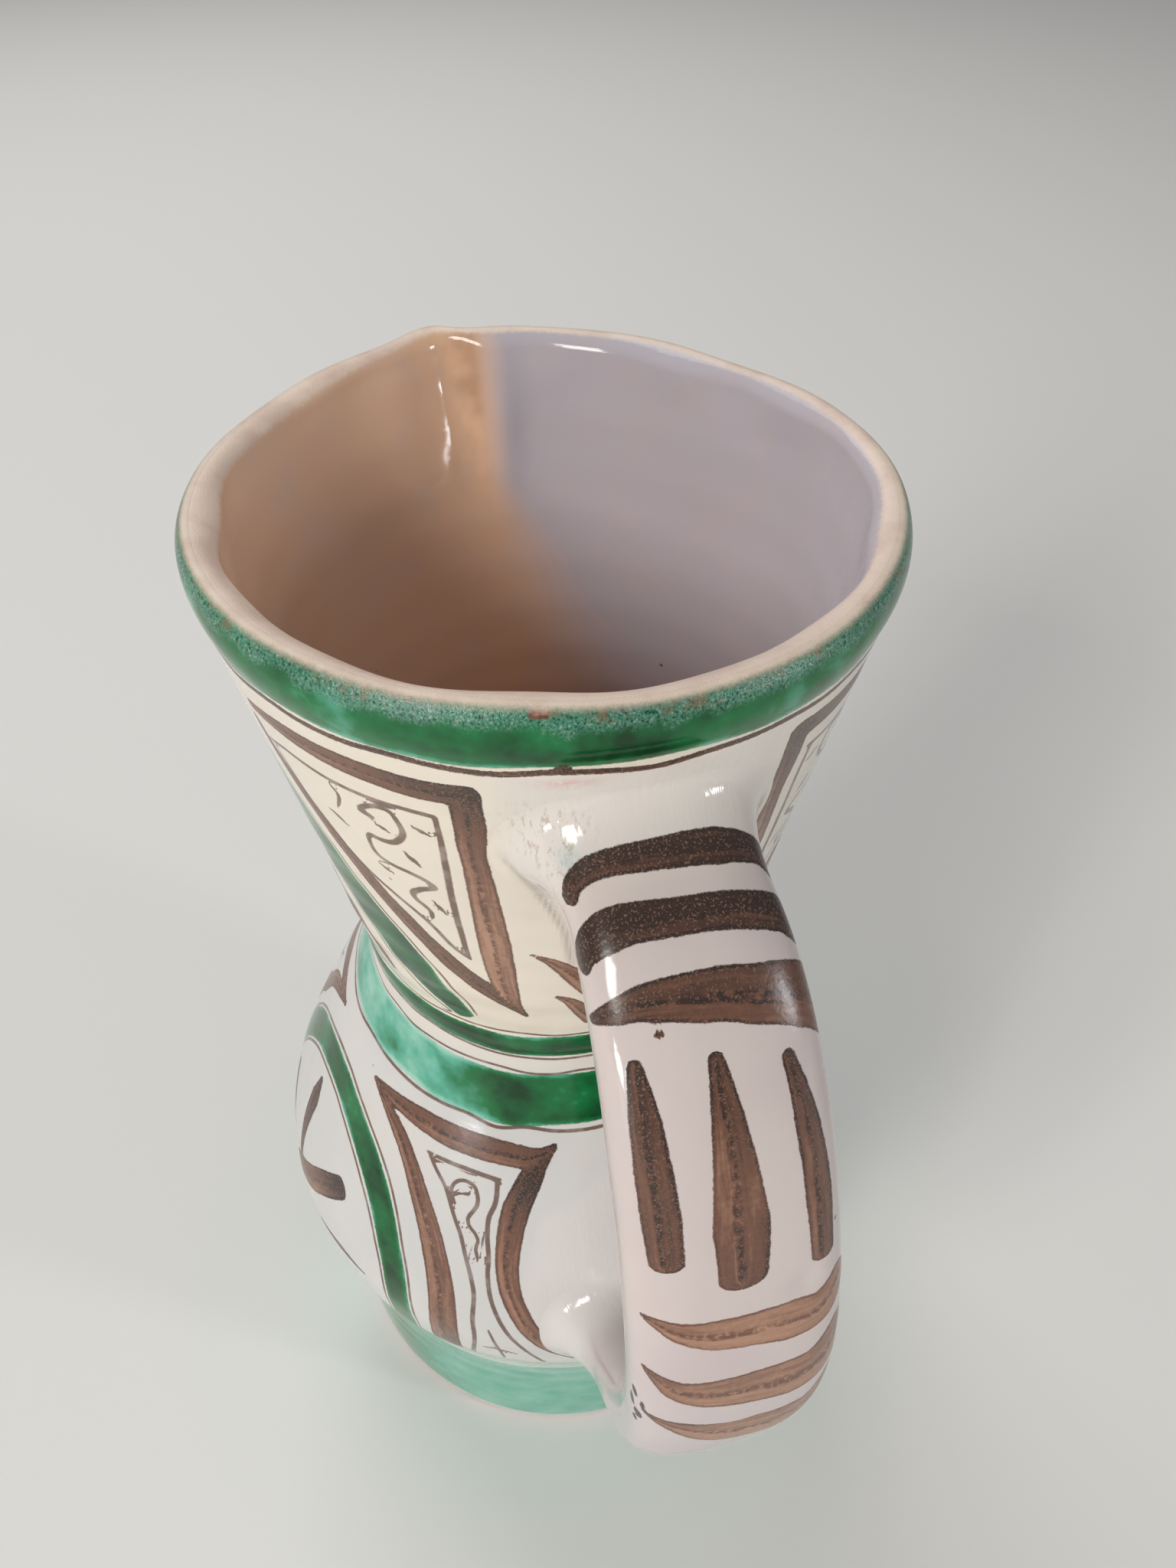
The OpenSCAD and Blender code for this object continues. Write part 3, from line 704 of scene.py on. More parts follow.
# Single accidents of the glaze: a drip under the rim and a rusty chip on it
ACCIDENTS = (
    ("brown", [(-13.6, 200.6), (-12.3, 200.4)], (0.8, 1.0, 0.8), (0.95, 0.95)),
    ("brown", [(-17.4, 209.2), (-14.6, 209.3)], (0.35, 0.5, 0.4), (0.2, 0.3)),
)
# Copies of a stroke: the turn added and the way its degrees then run
NECK_FOUR = ((0, -1), (-180, -1), (180, 1))
BELLY_FOUR = ((0, -1), (-159, -1), (159, 1))
MIRRORED = ((0, -1),)
PATTERN = ((NECK_SIDE, MIRRORED), (BELLY_SIDE, MIRRORED), (ACCIDENTS, ()), (NECK_QUARTER, NECK_FOUR),
           (CARTOUCHE, BELLY_FOUR))


def copied(stroke, rng, ways):
    """The stroke in its own place, then copied round the vessel with the painter's unevenness."""
    copies = [stroke]
    for turn, flip in ways:
        points = stroke.points.copy()
        points[:, 0] = turn + flip * points[:, 0]
        points += rng.normal(0, (0.2, 0.15), points.shape)
        points += rng.normal(0, (0.5, 0.4))
        copies.append(Stroke(stroke.kind, points, stroke.half, stroke.tone))
    return copies


def ring_line(height, half, rng, kind="fine"):
    """A brushed line right round the vessel."""
    turns = np.linspace(-180, 180, 49)
    lift = rng.normal(0, RING_WAVE, len(turns))
    lift[-1] = lift[0]
    return Stroke(kind, np.stack([turns, height + lift], -1), (half, half, half))


def beside(stroke, wheel, gap):
    """A fine outline that follows one edge of a stroke, a gap away from it."""
    curve = swept(stroke.points, 5)
    width = along(np.linspace(0, 1, len(curve)), stroke.half)
    ahead = np.gradient(curve, axis=0)
    r = wheel.outer(curve[:, 1])
    step = unit(np.stack([np.radians(ahead[:, 0]) * r, ahead[:, 1]], -1))
    across = np.stack([np.degrees(-step[:, 1] / r), step[:, 0]], -1)
    moved = curve + (np.sign(gap) * width + gap)[:, None] * across
    top_z = wheel.height - (31 if moved[:, 1].mean() < curve[:, 1].mean() else 12)
    return Stroke("fine", moved[moved[:, 1] < top_z], (0.28, 0.34, 0.28))


def paint_vessel(piece, wheel, bands, angle, z, kind, from_lip):
    """Lays the pattern, the bands and their outlines, and stores them on the mesh."""
    def to_surface(curve):
        turn = np.radians(curve[:, 0])
        return wheel.round_place(turn, curve[:, 1]), np.stack([np.cos(turn), np.sin(turn), 0 * turn], -1)

    outside = kind == OUTSIDE
    places = wheel.round_place(angle, z)
    brush = Brush(places, outside & (z > PAINT_START))
    rng = np.random.default_rng(SEED)
    edges = [(bands.waist_high + 0.7, 0.32), (bands.waist_low - 0.7, 0.32), (bands.shoulder_high + 0.5, 0.3),
             (bands.shoulder_low - 0.6, 0.34), (bands.foot_high + 3.2, 0.45)]
    strokes = [ring_line(height, half, rng) for height, half in edges]
    strokes.append(ring_line(bands.rim_low - 1.2, 0.5, rng, "brown"))
    for table, ways in PATTERN:
        for row in table:
            for copy in copied(Stroke(*row), rng, ways):
                strokes.append(copy)
                if copy.kind == "green":
                    strokes += [beside(copy, wheel, gap) for gap in (OUTLINE_GAP, -OUTLINE_GAP)]
    low, high = z[outside].min() - 4, z[outside].max() + 4
    for stroke in strokes:
        heights = stroke.points[:, 1]
        if heights.max() > low and heights.min() < high:
            brush.lay(stroke, to_surface)
    turn = np.degrees(angle)
    side = np.abs(turn)
    wave = 0.35 * np.sin(3 * angle + 1) + 0.25 * np.sin(7 * angle + 2) + 0.15 * np.sin(17 * angle)
    shade = smooth(np.abs(angle), 0.9, 0.4)
    leg = bell((side - 50) / 7) + bell((side - 112) / 7)
    puddle = bell((side - 61) / 12) + bell((side - 112) / 12)
    brush.band(bands.rim_low + wave, wheel.height + 2 * FAR, 0.68 + 0.2 * bell(turn / 14 + 0.3))
    brush.band(bands.waist_low + 0.5 * wave, bands.waist_high + 0.6 * wave, 0.85)
    brush.band(bands.shoulder_low + wave, bands.shoulder_high + 0.5 * wave, 0.3 + 0.48 * shade)
    brush.band(bands.foot_low + 0.3 * wave, bands.foot_high - 5 + 7 * leg + wave, 0.25 + 0.36 * puddle)
    inside = np.where(outside, 0.0, 1.0)
    on_neck = wheel.height - 30 < z.max()
    pressed = np.interp(turn, (-180, -150, -90, 0, 60, 110, 140, 180),
                        (-0.6, 0.9, 1.9, 1.2, 0.4, -0.6, -0.9, -0.6))
    depth = np.clip((wheel.height - 24 - z) / 80, 0, 1)
    pour = turned(angle, 180.6)
    store(piece.data, **brush.marks, inside=inside, rosy=0 * z, scuff=scuffs(places),
          lip_s=np.clip(from_lip, -2 * FAR, 2 * FAR) if on_neck else 0 * z + 2 * FAR,
          lip_in=np.clip(from_lip + pressed, -FAR, FAR) if on_neck else 0 * z - FAR,
          # Painted shade inside: the inner wall on the -Y side, turned away from the key lamp, reaching
          # further round the deeper it goes
          warm=smooth(np.sin(angle + 0.05) - 0.8 * depth, 0.08 + 0.7 * depth, -0.08 - 0.7 * depth),
          # Ochre stain down the spout's crease, with painted crease shade in it
          stain=bell(pour / np.where(pour < 0, 1.6, 5)) * smooth(z, 176, 198) * inside,
          **root_marks(angle, z, 0 * z))


def root_marks(angle, z, off):
    """White slip round both roots of the handle, the groove beside the upper one with painted shade darkening
    it, and its small stains.
    """
    turn = np.degrees(angle)
    near = smooth(off, 9, 4)
    low = np.hypot(turn / 22.5, (z - 78) / 22)
    reach = np.interp(z, (150, 157, 163, 170, 178, 182), (10, 11.4, 12.2, 15.1, 19.4, 22.4))
    blur = np.interp(z, (176, 190), (0.8, 4.5))
    high = smooth(np.abs(turn), reach + blur, reach - blur) * smooth(z, 199.6, 198.4) * smooth(z, 148, 154)
    slip = np.maximum(smooth(low + 0.05 * np.sin(turn / 3 + z / 4), 1.05, 0.9), high)
    # Painted shade: a dark line in the crease along the edge of the upper root, which also cuts a groove in
    # the bump
    seam_groove_and_shade = bell((np.abs(turn) - reach) / 0.8) * smooth(z, 150, 156) * smooth(z, 185, 180)
    pink = bell((turn + 12.5) / 4) * bell((z - 197.6) / 0.7)
    pink = pink + 0.5 * bell((turn + 9) / 3) * bell((z - 181) / 3)
    drop = bell(np.hypot((turn + 11) / 2.4, (z - 187.6) / 1.4))
    return {"slip": slip * near, "seam_groove_and_shade": seam_groove_and_shade * near, "blush": pink * near, "drop": drop * near}


def scuffs(places):
    """Rubbed patches on the upper root of the handle."""
    total = 0.0
    for centre, size in (((46.5, -15.5, 189), 3.6), ((48, -11.5, 190.5), 3.4), ((50, -11, 185), 3.6)):
        total = total + bell(np.linalg.norm(places - np.array(centre), axis=1) / size)
    return np.clip(total, 0, 1)


# The strap handle
RING_POINTS = 288
STRAP_STEPS = 150
ROOT_STEPS = 22
# Reach along the strap, sideways smear and upward smear of a root
UPPER_ROOT = (11.0, 8.6, 7.0)
LOWER_ROOT = (14.0, 8.0, 7.0)
# Rings that close a root inside the wall: share of its edge, and how deep they lie
CAPS = ((0.985, 0.5), (0.94, 1.2), (0.7, 1.2), (0.4, 1.2), (0.15, 1.2))


class Strap:
    """The pulled strap: its middle line, its sections and its two smeared roots."""

    power = 2.6

    def __init__(self, handle, wheel):
        h = in_mm(handle)
        self.wheel = wheel
        controls = [(70.1, -0.0095), (76.0, 0.244), (100.5, 0.62), (86.9, 0.818)]
        controls = [(r, h.top_height - share * (h.top_height - h.low_height)) for r, share in controls]
        first, last = [(float(wheel.outer(z)), z) for z in (h.top_height, h.low_height)]
        self.controls = np.array([first] + controls + [last])
        self.widths = h.top_width, h.pull_width, h.low_width
        self.thick = h.top_thickness, h.low_thickness
        self.bow, self.drift = h.bow, h.drift
        self.arc_t = np.linspace(0, 1, 2001)
        self.arc = walked(self.middle(self.arc_t))

    def middle(self, t):
        t = np.asarray(t, float)[..., None]
        total = 0
        for k, point in enumerate(self.controls):
            total = total + math.comb(5, k) * (1 - t) ** (5 - k) * t ** k * point
        return total

    def heading(self, t):
        return unit(self.middle(np.minimum(t + 1e-4, 1)) - self.middle(np.maximum(t - 1e-4, 0)))

    def at_arc(self, v):
        return np.interp(v, self.arc, self.arc_t)

    def section(self, angle, t):
        """Sideways and outward offsets of a section's points."""
        a, b, c = self.widths
        width = a * (1 - t) ** 2 + 2 * b * t * (1 - t) + c * t * t
        thick = self.thick[0] + (self.thick[1] - self.thick[0]) * t
        s, k = np.sin(angle), np.cos(angle)
        y = np.sign(s) * np.abs(s) ** (2 / self.power) * width / 2
        out = np.sign(k) * np.abs(k) ** (2 / self.power) * thick / 2
        return y + self.drift * t * t + self.bow * 4 * t * (1 - t), out

    def place(self, angle, t):
        """Points of the strap's surface by the angle round a section and the share along it."""
        y, out = self.section(angle, t)
        m, d = self.middle(t), self.heading(t)
        pull = 1 + 0.012 * np.sin(5 * angle + 9 * t) + 0.008 * np.sin(31 * t + 2 * angle)
        dent = bell((angle - 0.42) / 0.2) * bell((np.interp(t, self.arc_t, self.arc) - 60) / 2.6)
        out = out * pull - 0.5 * dent
        return np.stack([m[..., 0] - d[..., 1] * out, y, m[..., 1] + d[..., 0] * out], -1)

    def ring(self, angle, t):
        return self.place(angle, np.full_like(angle, t))

    def root(self, angle, end, reach, side, rise):
        """Rings that carry the strap's surface onto the vessel, from the strap out to the smeared edge."""
        sign = 1 - 2 * end
        t_from = float(self.at_arc(reach if end == 0 else self.arc[-1] - reach))
        start = self.ring(angle, t_from)
        ahead = unit(start - self.ring(angle, t_from + 0.004 * sign))
        y, out = self.section(angle, end)
        z = self.middle(end)[1] + sign * out
        corner = self.wheel.seat(y, z)
        edge_y, edge_z = y + side * np.sin(angle), z + sign * rise * np.cos(angle)
        edge = self.wheel.seat(edge_y, edge_z, 0.02)
        first = start + ahead * np.linalg.norm(corner - start, axis=1, keepdims=True) * 0.6
        second = edge + (corner - edge) * 0.62
        rings = []
        for u in np.linspace(0, 1, ROOT_STEPS + 1):
            w = 1 - u
            rings.append(start * w ** 3 + 3 * first * u * w ** 2 + 3 * second * u * u * w + edge * u ** 3)
        mid_y, mid_z = edge_y.mean(), edge_z.mean()
        for share, sunk in CAPS + ((0, CAPS[-1][1]),):
            spot = mid_y + (edge_y - mid_y) * share, mid_z + (edge_z - mid_z) * share
            rings.append(self.wheel.seat(*spot, sunk))
        centre = rings.pop()[0]
        return rings, centre, self.wheel.normal(np.arctan2(edge[:, 1], edge[:, 0]), edge[:, 2])


# The strap's stripes: degrees round a section, millimetres along the strap
HANDLE_STRIPES = (
    ("brown", [(-71, 7.3), (-60, 6.3), (-37, 5.7), (0, 6.2), (43, 6.6), (63, 7.2), (84, 9)],
     (1.4, 1.8, 2.0, 2.2, 2.4, 2.0, 1.6), (0.85, 0.8, 0.9, 0.95)),
    ("brown", [(-80, 14.3), (-70, 13), (-35, 11.8), (0, 12.2), (30, 12.9), (59, 13.9), (86, 16.5)],
     (1.9, 2.6, 2.3, 2.2, 2.3, 2.4, 1.8), (0.95, 0.9, 0.85, 0.85)),
    ("brown", [(-84, 20.6), (-55, 20), (-29, 19.4), (-2, 19.9), (17, 20.9), (45, 22), (67, 23.4), (86, 25.5)],
     (0.4, 1.6, 2.4, 3.0, 3.3, 3.7, 3.9, 3.2), (0.8, 0.6, 0.6, 0.45)),
    ("brown", [(-43.5, 25.6), (-42.5, 30), (-41, 39), (-39.5, 47), (-39, 51.8)], (0.9, 1.9, 2.3, 2.45, 2.2),
     (0.8, 0.6, 0.55)),
    ("brown", [(-2, 26.2), (-1.5, 31.5), (-1, 40.8), (-1, 50), (-1.5, 55.8)], (0.9, 2.0, 2.9, 3.7, 3.2),
     (0.75, 0.5, 0.35, 0.5)),
    ("brown", [(28.5, 28), (34, 34.4), (38.5, 44.5), (39, 56.6)], (0.8, 1.8, 2.1, 1.8), (0.75, 0.5, 0.45)),
    ("brown", [(-64, 60.8), (-48, 61.8), (-32, 63.2), (-3, 65), (20, 66), (39, 65.6), (62, 62)],
     (0.3, 1.7, 2.8, 3.2, 3.7, 3.2, 2.0), (0.3, 0.05, 0.05, 0.15)),
    ("brown", [(-66, 71), (-50, 73), (-34, 75.2), (-3, 77.5), (23, 78.2), (43, 77), (66, 72)],
     (0.3, 2.0, 3.3, 4.0, 4.5, 4.4, 2.5), (0.35, 0.12, 0.12, 0.15)),
    ("brown", [(-66, 82.6), (-50, 83.6), (-32, 85.3), (0, 89.6), (25, 90.6), (46, 89), (66, 84)],
     (0.3, 1.6, 2.9, 4.2, 4.8, 4.0, 2.0), (0.35, 0.1, 0.1, 0.15)),
    ("brown", [(-80, 78.4), (-77, 80.6)], (0.3, 0.5, 0.3), (1.0, 1.0)),
    ("brown", [(-84, 81.4), (-81, 84)], (0.3, 0.5, 0.3), (1.0, 1.0)),
    ("brown", [(-74, 84.6), (-71, 85.6)], (0.7, 0.95, 0.7), (1.0, 1.0)),
    ("brown", [(-68, 80.6), (-66.5, 82.6)], (0.2, 0.4, 0.2), (0.9, 0.9)),
    ("brown", [(-78, 87), (-75, 88)], (0.3, 0.5, 0.3), (1.0, 1.0)),
    ("brown", [(-26, 22.6), (-23, 22.9)], (0.4, 0.6, 0.4), (0.4, 0.4)),
)


def pull_strap(strap, material):
    """Mesh of the strap with both roots, closed inside the wall."""
    angle = np.linspace(-np.pi, np.pi, RING_POINTS, endpoint=False)
    upper, upper_centre, upper_normals = strap.root(angle, 0, *UPPER_ROOT)
    lower, lower_centre, lower_normals = strap.root(angle, 1, *LOWER_ROOT)
    steps = np.linspace(UPPER_ROOT[0], strap.arc[-1] - LOWER_ROOT[0], STRAP_STEPS + 1)[1:-1]
    rings = upper[::-1] + [strap.ring(angle, t) for t in strap.at_arc(steps)] + lower
    co = np.vstack(rings + [upper_centre[None], lower_centre[None]])
    count, n = len(rings), RING_POINTS
    faces = []
    for j in range(n):
        i = (j + 1) % n
        faces += [(k * n + j, k * n + i, (k + 1) * n + i, (k + 1) * n + j) for k in range(count - 1)]
        faces.append((i, j, count * n))
        faces.append(((count - 1) * n + j, (count - 1) * n + i, count * n + 1))
    mesh = bpy.data.meshes.new("strap_handle")
    mesh.from_pydata((co * MM).tolist(), [], faces)
    mesh.materials.append(material)
    clean_mesh(mesh)
    normals = np.zeros_like(co)
    for edge, known in ((len(CAPS), upper_normals), (count - 1 - len(CAPS), lower_normals)):
        normals[edge * n:(edge + 1) * n] = known
    mesh.normals_split_custom_set_from_vertices(normals.tolist())
    return placed("strap_handle", mesh), co


def paint_strap(piece, strap, co):
    """Lays the stripes on the strap, and stores them with the marks of its roots."""
    def to_surface(curve):
        angle, t = np.radians(curve[:, 0]), strap.at_arc(curve[:, 1])
        path = strap.place(angle, t)
        around = strap.place(angle + 1e-3, t) - path
        ahead = strap.place(angle, t + 1e-3) - path
        return path, np.cross(ahead, around)

    brush = Brush(co, np.ones(len(co), bool))
    for row in HANDLE_STRIPES:
        brush.lay(Stroke(*row), to_surface)
    x, y, z = co.T
    flat = 0 * z
    off = np.hypot(x, y) - strap.wheel.outer(np.clip(z, 0, strap.wheel.lip_z))
    store(piece.data, **brush.marks, lip_s=flat + 2 * FAR, lip_in=flat - FAR, inside=flat, stain=flat,
          warm=flat, rosy=smooth(off, 0, 14), scuff=scuffs(co), **root_marks(np.arctan2(y, x), z, off))


# Materials
class Shade(Nodes):
    """A material on one principled shader, with short calls for its layers."""

    def __init__(self, name):
        self.material = bpy.data.materials.new(name)
        self.material.use_nodes = True
        super().__init__(self.material.node_tree)
        self.tree.nodes.clear()
        self.shader = self.node("ShaderNodeBsdfPrincipled")
        self.node("ShaderNodeOutputMaterial", {0: Value(self, self.shader.outputs[0])})
        spot = self.value("ShaderNodeTexCoord", output="Object")
        self.place = self.value("ShaderNodeVectorMath", {0: spot, "Scale": 1 / MM}, operation="SCALE")
        self.base = None

    def ease(self, value, low, high, to_low=0.0, to_high=1.0):
        spans = enumerate((value, low, high, to_low, to_high))
        return self.value("ShaderNodeMapRange", spans, interpolation_type="SMOOTHSTEP")

    def stored(self, name):
        return self.value("ShaderNodeAttribute", output="Fac", attribute_name=name)

    def upward(self):
        return self.value("ShaderNodeSeparateXYZ", {0: self.place}, 2)

    def stretched(self, x, y, z):
        return self.value("ShaderNodeVectorMath", {0: self.place, 1: (x, y, z)}, operation="MULTIPLY")

    def noise(self, scale, detail=2.0, rough=0.5, place=None, warp=0.0):
        inputs = {"Vector": place or self.place, "Scale": scale, "Detail": detail, "Roughness": rough,
                  "Distortion": warp}
        return self.value("ShaderNodeTexNoise", inputs, "Fac")

    def mix(self, share, a, b):
        return self.value("ShaderNodeMix", {"Factor": share, 6: a, 7: b}, 2, data_type="RGBA")

    def coat(self, share, tint):
        """Lays a colour over the base."""
        self.base = self.mix(share, self.base, tint)

    def ramp(self, share, *stops):
        node = self.node("ShaderNodeValToRGB", {0: share})
        points = node.color_ramp.elements
        while len(points) < len(stops):
            points.new(0.5)
        for point, (place, tint) in zip(points, stops):
            point.position, point.color = place, tuple(tint) + (1,)
        return Value(self, node.outputs[0])

    def finish(self, rough, height=None, relief=0.3):
        inputs = {"Base Color": self.base, "Roughness": rough, "Specular IOR Level": 0.4}
        if height is not None:
            bumps = {"Distance": relief * MM, "Strength": 1.0, "Height": height}
            inputs["Normal"] = self.value("ShaderNodeBump", bumps)
        for name, value in inputs.items():
            self.put(self.shader.inputs[name], value)
        return self.material


def painted_glaze(colours):
    """Tin glaze with brushed copper green and manganese brown, read from the strokes stored on a mesh."""
    if "painted_glaze" in bpy.data.materials:
        return bpy.data.materials["painted_glaze"]
    s = Shade("painted_glaze")
    broad, middling = s.noise(0.035, 2), s.noise(0.16, 3, 0.55)
    small, grain = s.noise(1.1, 3, 0.6), s.noise(4.2, 2, 0.6)
    ragged = (small - 0.5) * 0.55 + (grain - 0.5) * 0.35

    s.base = s.mix(s.ease(s.upward(), 134, 110), colours.cream, colours.white)
    s.coat(s.ease(broad, 0.35, 0.7) * 0.4, linear(222, 214, 206))
    s.coat(s.ease(middling, 0.5, 0.75) * 0.2, linear(214, 200, 180))
    s.coat(s.stored("rosy") * s.ease(broad, 0.2, 0.6, 0.95, 0.7), colours.rosy)
    slip, seam_groove_and_shade = s.stored("slip"), s.stored("seam_groove_and_shade")
    s.coat(slip * 0.65, linear(216, 210, 206))
    # Painted shade in the crease beside the upper root
    s.coat(seam_groove_and_shade * 0.4, linear(150, 130, 118))
    scratch = s.noise(1.0, 3, 0.7, s.stretched(1.3, 1.3, 0.5))
    s.coat(s.stored("scuff") * s.ease(scratch, 0.53, 0.64) * 0.55, linear(168, 140, 120))
    s.coat(s.stored("blush") * s.ease(small, 0.35, 0.6) * 0.6, linear(222, 150, 150))
    s.coat(s.stored("drop") * s.ease(small, 0.25, 0.5) * 0.7, linear(140, 186, 184))
    # Painted shade inside: the lining turns to its shaded copy where the stored shade mask is set
    lining = s.mix(s.stored("warm"), colours.lining, colours.warm_lining)
    lining = s.mix(s.ease(middling, 0.45, 0.7) * 0.18, lining, linear(206, 186, 180))
    s.coat(s.stored("inside"), lining)
    # Ochre stain and painted crease shade down the spout's crease
    s.coat(s.stored("stain") * s.ease(s.noise(0.12, 3), 0.25, 0.6) * 0.5, colours.stain)

    green_d = s.stored("green_d") + ragged * 0.8
    green = s.ease(green_d, 0.16, -0.16)
    smear = s.noise(0.16, 2, 0.5, s.stretched(0.8, 0.8, 1.0))
    uneven = (smear - 0.5) + (s.noise(0.6, 2) - 0.5) * 0.22
    pool = s.stored("green_tone") + uneven * s.ease(s.upward(), 30, 60, 0.4, 1.0)
    pool = pool + s.ease(green_d, -1.3, 0.0) * -0.3
    s.coat(green, s.ramp(pool, (0.0, colours.pale_green), (0.3, colours.turquoise), (0.62, colours.green),
                         (1.0, colours.deep_green)))

    fine = s.ease(abs(s.stored("fine_u") + ragged * 0.6), 1.15, 0.65)
    fine = fine * s.ease(s.stored("fine_abs"), 0.86, 0.62) * s.ease(s.noise(0.3, 2), 0.3, 0.55, 0.78, 1.0)
    s.coat(fine * 0.92, colours.line)

    brown_d = s.stored("brown_d") + ragged * 0.7
    brown = s.ease(brown_d, 0.22, 0.0)
    across = s.stored("brown_u")
    brush = s.value("ShaderNodeCombineXYZ", {0: across * 2.6, 1: s.stored("brown_v") * 0.08})
    streak = s.noise(1.0, 3, 0.6, brush, 0.3)
    ridge = s.ease(abs(across + streak * 0.7 - 0.25), 0.3, 0.04) * s.ease(small, 0.3, 0.6) * 0.45
    ridge = ridge + s.ease(across, -0.2, 0.3) * 0.14
    depth = s.stored("brown_tone") + (streak - 0.5) * 0.9 + ridge
    depth = depth + s.ease(brown_d, -0.5, -0.1) * 0.28 + (small - 0.5) * 0.35
    pigment = s.ramp(depth, (0.0, colours.tan), (0.5, colours.brown), (1.0, colours.dark_brown))
    fleck = s.ease(s.noise(3.4, 1), 0.57, 0.67) * s.ease(depth, 0.45, 0.95)
    s.coat(brown * 0.97, s.mix(fleck * 0.42, pigment, linear(166, 128, 108)))

    crest = s.stored("lip_s")
    worn = s.ease(s.stored("lip_in") + ragged * 1.5, -2.9, -1.5) * s.ease(crest + ragged * 0.9, 1.8, 0.3)
    s.coat(worn * 0.9, s.mix(s.ease(middling, 0.4, 0.7), colours.lip, linear(226, 200, 182)))
    frayed = s.ease(crest + ragged * 2.5 + (middling - 0.5) * 5.0, 4.2, 2.4)
    rubbed = frayed * (1.0 - worn) * green * (1.0 - brown)
    speck = s.noise(2.6, 2, 0.7)
    teal = s.mix(s.ease(speck, 0.48, 0.36), linear(84, 138, 118), linear(20, 58, 44))
    teal = s.mix(s.ease(speck, 0.57, 0.68) * 0.75, teal, linear(190, 190, 180))
    rust = s.ease(s.noise(0.35, 3, 0.65), 0.53, 0.64) * s.ease(crest, 3.0, 1.5)
    s.coat(rubbed * 0.75, s.mix(rust * 0.7, teal, linear(140, 100, 76)))

    cells = s.value("ShaderNodeTexVoronoi", {"Vector": s.place, "Scale": 0.11}, "Distance")
    hole = s.ease(cells, 0.045, 0.02) * s.ease(s.noise(0.11, 0), 0.52, 0.6)
    s.coat(hole * 0.85, linear(70, 50, 40))

    rough = 0.09 + brown * 0.14 + worn * 0.32 + small * 0.05 + rubbed * 0.12
    marks = s.noise(1.0, 2, 0.6, s.stretched(0.25, 1.2, 0.35))
    height = green * 0.35 + middling * s.ease(s.upward(), 24, 48, 0.08, 0.35) + brown * small * 0.12
    height = height + hole * -0.8 + worn * grain * 0.25 + slip * marks * 0.25 + rubbed * speck * 0.4
    return s.finish(rough, height + seam_groove_and_shade * -0.8, 0.25)


def bare_clay(colours):
    """Unglazed underside with the curved marks of the cutting wire."""
    s = Shade("bare_clay")
    shifted = s.value("ShaderNodeVectorMath", {0: s.place, 1: (90, 40, 0)}, operation="ADD")
    arcs = s.value("ShaderNodeTexWave", {"Vector": shifted, "Scale": 0.09, "Distortion": 1.5}, "Fac",
                   wave_type="RINGS", rings_direction="Z")
    grain = s.noise(2.5, 4, 0.65)
    s.base = s.mix(s.ease(s.noise(0.06, 3), 0.35, 0.65), colours.clay, linear(205, 164, 136))
    s.coat(s.ease(grain, 0.55, 0.75) * 0.35, linear(140, 96, 72))
    return s.finish(0.72 + grain * 0.15, arcs * 0.6 + grain * 0.6)


def plain_floor(stage):
    s = Shade("plain_floor")
    s.base = s.mix(s.noise(0.01, 2) * 0.06, stage.floor, linear(222, 220, 216))
    return s.finish(0.6)


def thrown(name, section):
    """A piece of the vessel, thrown from its section and painted."""
    vessel, _, bands, colours, _ = settings()
    wheel = Wheel(vessel, bands)
    piece, *surface = throw_piece(name, section(wheel), wheel, painted_glaze(colours))
    paint_vessel(piece, wheel, in_mm(bands), *surface)
    return piece


# Operators, one for each piece and one for the stage
class PITCHER_OT_throw_neck(bpy.types.Operator):
    """Throw the funnel neck with its lip, spout and bands, and paint its panels"""
    bl_idname = "pitcher.throw_neck"
    bl_label = "Throw Neck"

    def execute(self, context):
        piece = thrown("neck_wall", neck_section)
        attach(piece, BODY)
        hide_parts("neck", "neck_lining", "rim_band", "waist_band")
        return {"FINISHED"}


class PITCHER_OT_throw_belly(bpy.types.Operator):
    """Throw the round belly with its lining and shoulder band, and paint its medallions and panels"""
    bl_idname = "pitcher.throw_belly"
    bl_label = "Throw Belly"

    def execute(self, context):
        piece = thrown("belly_wall", belly_section)
        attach(piece, BODY)
        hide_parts("belly", "belly_lining", "shoulder_band")
        return {"FINISHED"}


class PITCHER_OT_turn_foot(bpy.types.Operator):
    """Turn the tapering foot with its green band and its bare underside"""
    bl_idname = "pitcher.turn_foot"
    bl_label = "Turn Foot"

    def execute(self, context):
        piece = thrown("foot_ring", foot_section)
        piece.data.materials.append(bare_clay(context.scene.pitcher_colours))
        under = [1 if p.center.z < 0.4 * MM else 0 for p in piece.data.polygons]
        piece.data.polygons.foreach_set("material_index", under)
        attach(piece, BODY)
        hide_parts("foot", "foot_band")
        return {"FINISHED"}


class PITCHER_OT_pull_handle(bpy.types.Operator):
    """Pull the strap handle, smear its roots onto the vessel and paint its stripes"""
    bl_idname = "pitcher.pull_handle"
    bl_label = "Pull Handle"

    def execute(self, context):
        vessel, handle, bands, colours, _ = settings()
        strap = Strap(handle, Wheel(vessel, bands))
        piece, co = pull_strap(strap, painted_glaze(colours))
        paint_strap(piece, strap, co)
        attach(piece, BODY)
        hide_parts("handle", "upper_handle_joint", "lower_handle_joint")
        return {"FINISHED"}


class PITCHER_OT_set_stage(bpy.types.Operator):
    """Set the floor, the lamps, the even light and the camera"""
    bl_idname = "pitcher.set_stage"
    bl_label = "Set Stage"

    def execute(self, context):
        stage = context.scene.pitcher_stage
        lay_floor(stage)
        hang_lamps(stage)
        place_camera(stage)
        return {"FINISHED"}


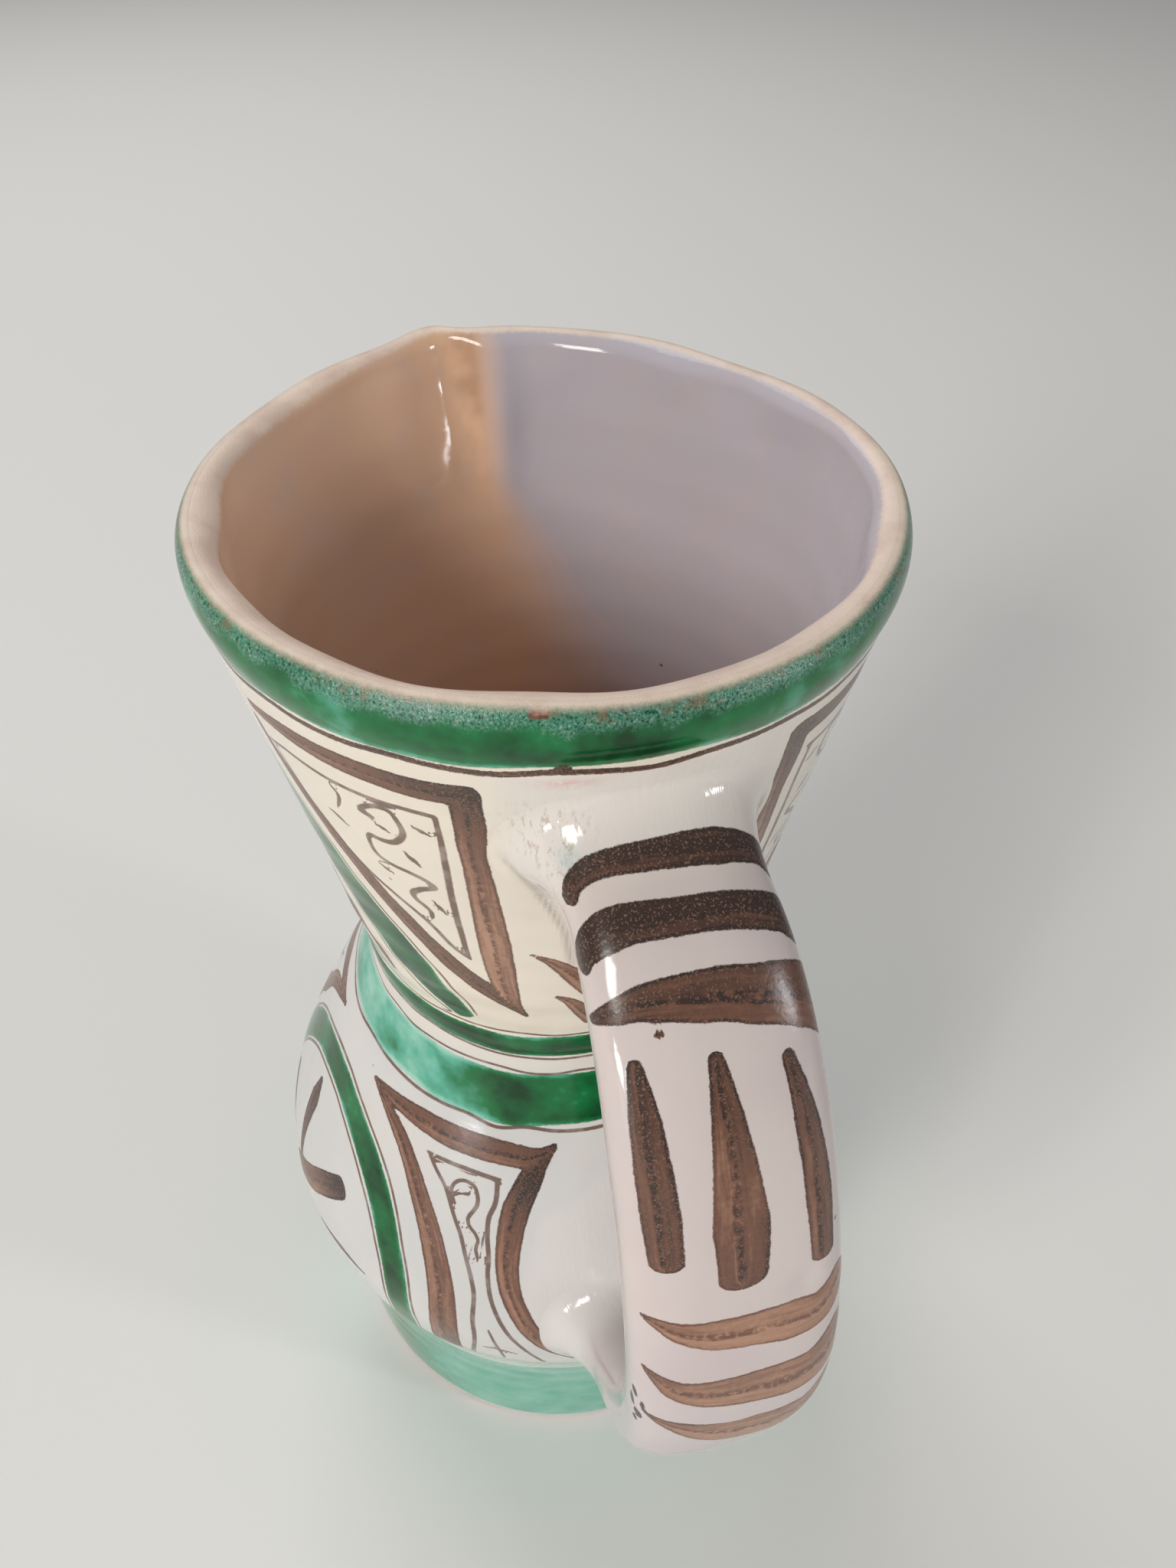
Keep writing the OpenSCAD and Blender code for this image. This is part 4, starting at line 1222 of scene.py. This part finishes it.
def lay_floor(stage):
    half = 6.0
    corners = [(-half, -half, 0), (half, -half, 0), (half, half, 0), (-half, half, 0)]
    mesh = bpy.data.meshes.new("floor")
    mesh.from_pydata(corners, [], [(0, 1, 2, 3)])
    mesh.materials.append(plain_floor(stage))
    floor = placed("floor", mesh)


def hang_lamps(stage):
    aim = Vector((0, 0, 0.12))
    lamps = (("key_lamp", (0.85, -1.1, 0.95), (0.42, 0.56), stage.key, (1.0, 0.97, 0.93)),
             ("window_lamp", (0.8, -1.05, 0.17), (0.22, 0.16), stage.window, (0.97, 0.98, 1.0)),
             ("side_lamp", (0.75, 1.0, 0.42), (0.16, 0.3), stage.side, (0.94, 0.97, 1.0)),
             ("fill_lamp", (-1.1, -0.2, 1.2), (1.0, 1.0), stage.fill, (1.0, 1.0, 1.0)))
    for name, place, size, power, tint in lamps:
        lamp = bpy.data.lights.new(name, "AREA")
        lamp.shape, lamp.size, lamp.size_y = "RECTANGLE", size[0], size[1]
        lamp.energy, lamp.color = power, tint
        holder = placed(name, lamp)
        holder.location = place
        holder.rotation_euler = (aim - Vector(place)).to_track_quat("-Z", "Y").to_euler()
    world = bpy.data.worlds.new("studio")
    world.use_nodes = True
    background = world.node_tree.nodes["Background"]
    background.inputs["Color"].default_value = (0.97, 0.98, 1.0, 1)
    background.inputs["Strength"].default_value = stage.sky
    bpy.context.scene.world = world


def place_camera(stage):
    place = (0.14706, -0.03736, 0.29459)
    heading, pitch, roll = math.radians(163.52), math.radians(43.23), math.radians(-0.56)
    flat = math.cos(pitch)
    ahead = Vector((math.cos(heading) * flat, math.sin(heading) * flat, -math.sin(pitch)))
    level = Vector((math.sin(heading), -math.cos(heading), 0))
    down = ahead.cross(level)
    right = level * math.cos(roll) + down * math.sin(roll)
    up = level * math.sin(roll) - down * math.cos(roll)
    lens = bpy.data.cameras.new("camera")
    lens.lens, lens.sensor_width, lens.clip_start = stage.lens, 36, 0.01
    camera = placed("camera", lens)
    camera.matrix_world = Matrix.Translation(place) @ Matrix((right, up, -ahead)).transposed().to_4x4()
    bpy.context.scene.camera = camera


class PITCHER_PT_maker(bpy.types.Panel):
    """Sizes, colours and making steps of the pitcher"""
    bl_label = "Pitcher"
    bl_idname = "PITCHER_PT_maker"
    bl_space_type = "VIEW_3D"
    bl_region_type = "UI"
    bl_category = "Pitcher"

    def draw(self, context):
        for group in settings():
            box = self.layout.box()
            for name in type(group).__annotations__:
                box.prop(group, name)
        for step in STEPS:
            self.layout.operator(step.bl_idname)


STEPS = (PITCHER_OT_set_stage, PITCHER_OT_throw_neck, PITCHER_OT_throw_belly, PITCHER_OT_turn_foot,
         PITCHER_OT_pull_handle)
CLASSES = tuple(GROUPS.values()) + STEPS + (PITCHER_PT_maker,)


def register():
    for item in CLASSES:
        bpy.utils.register_class(item)
    for name, group in GROUPS.items():
        setattr(bpy.types.Scene, name, PointerProperty(type=group))


def unregister():
    for name in GROUPS:
        delattr(bpy.types.Scene, name)
    for item in reversed(CLASSES):
        bpy.utils.unregister_class(item)


def main():
    register()
    bpy.context.scene.view_settings.view_transform = "Standard"
    bpy.ops.pitcher.set_stage()
    bpy.ops.pitcher.throw_neck()
    bpy.ops.pitcher.throw_belly()
    bpy.ops.pitcher.turn_foot()
    bpy.ops.pitcher.pull_handle()


if __name__ == "__main__":
    main()
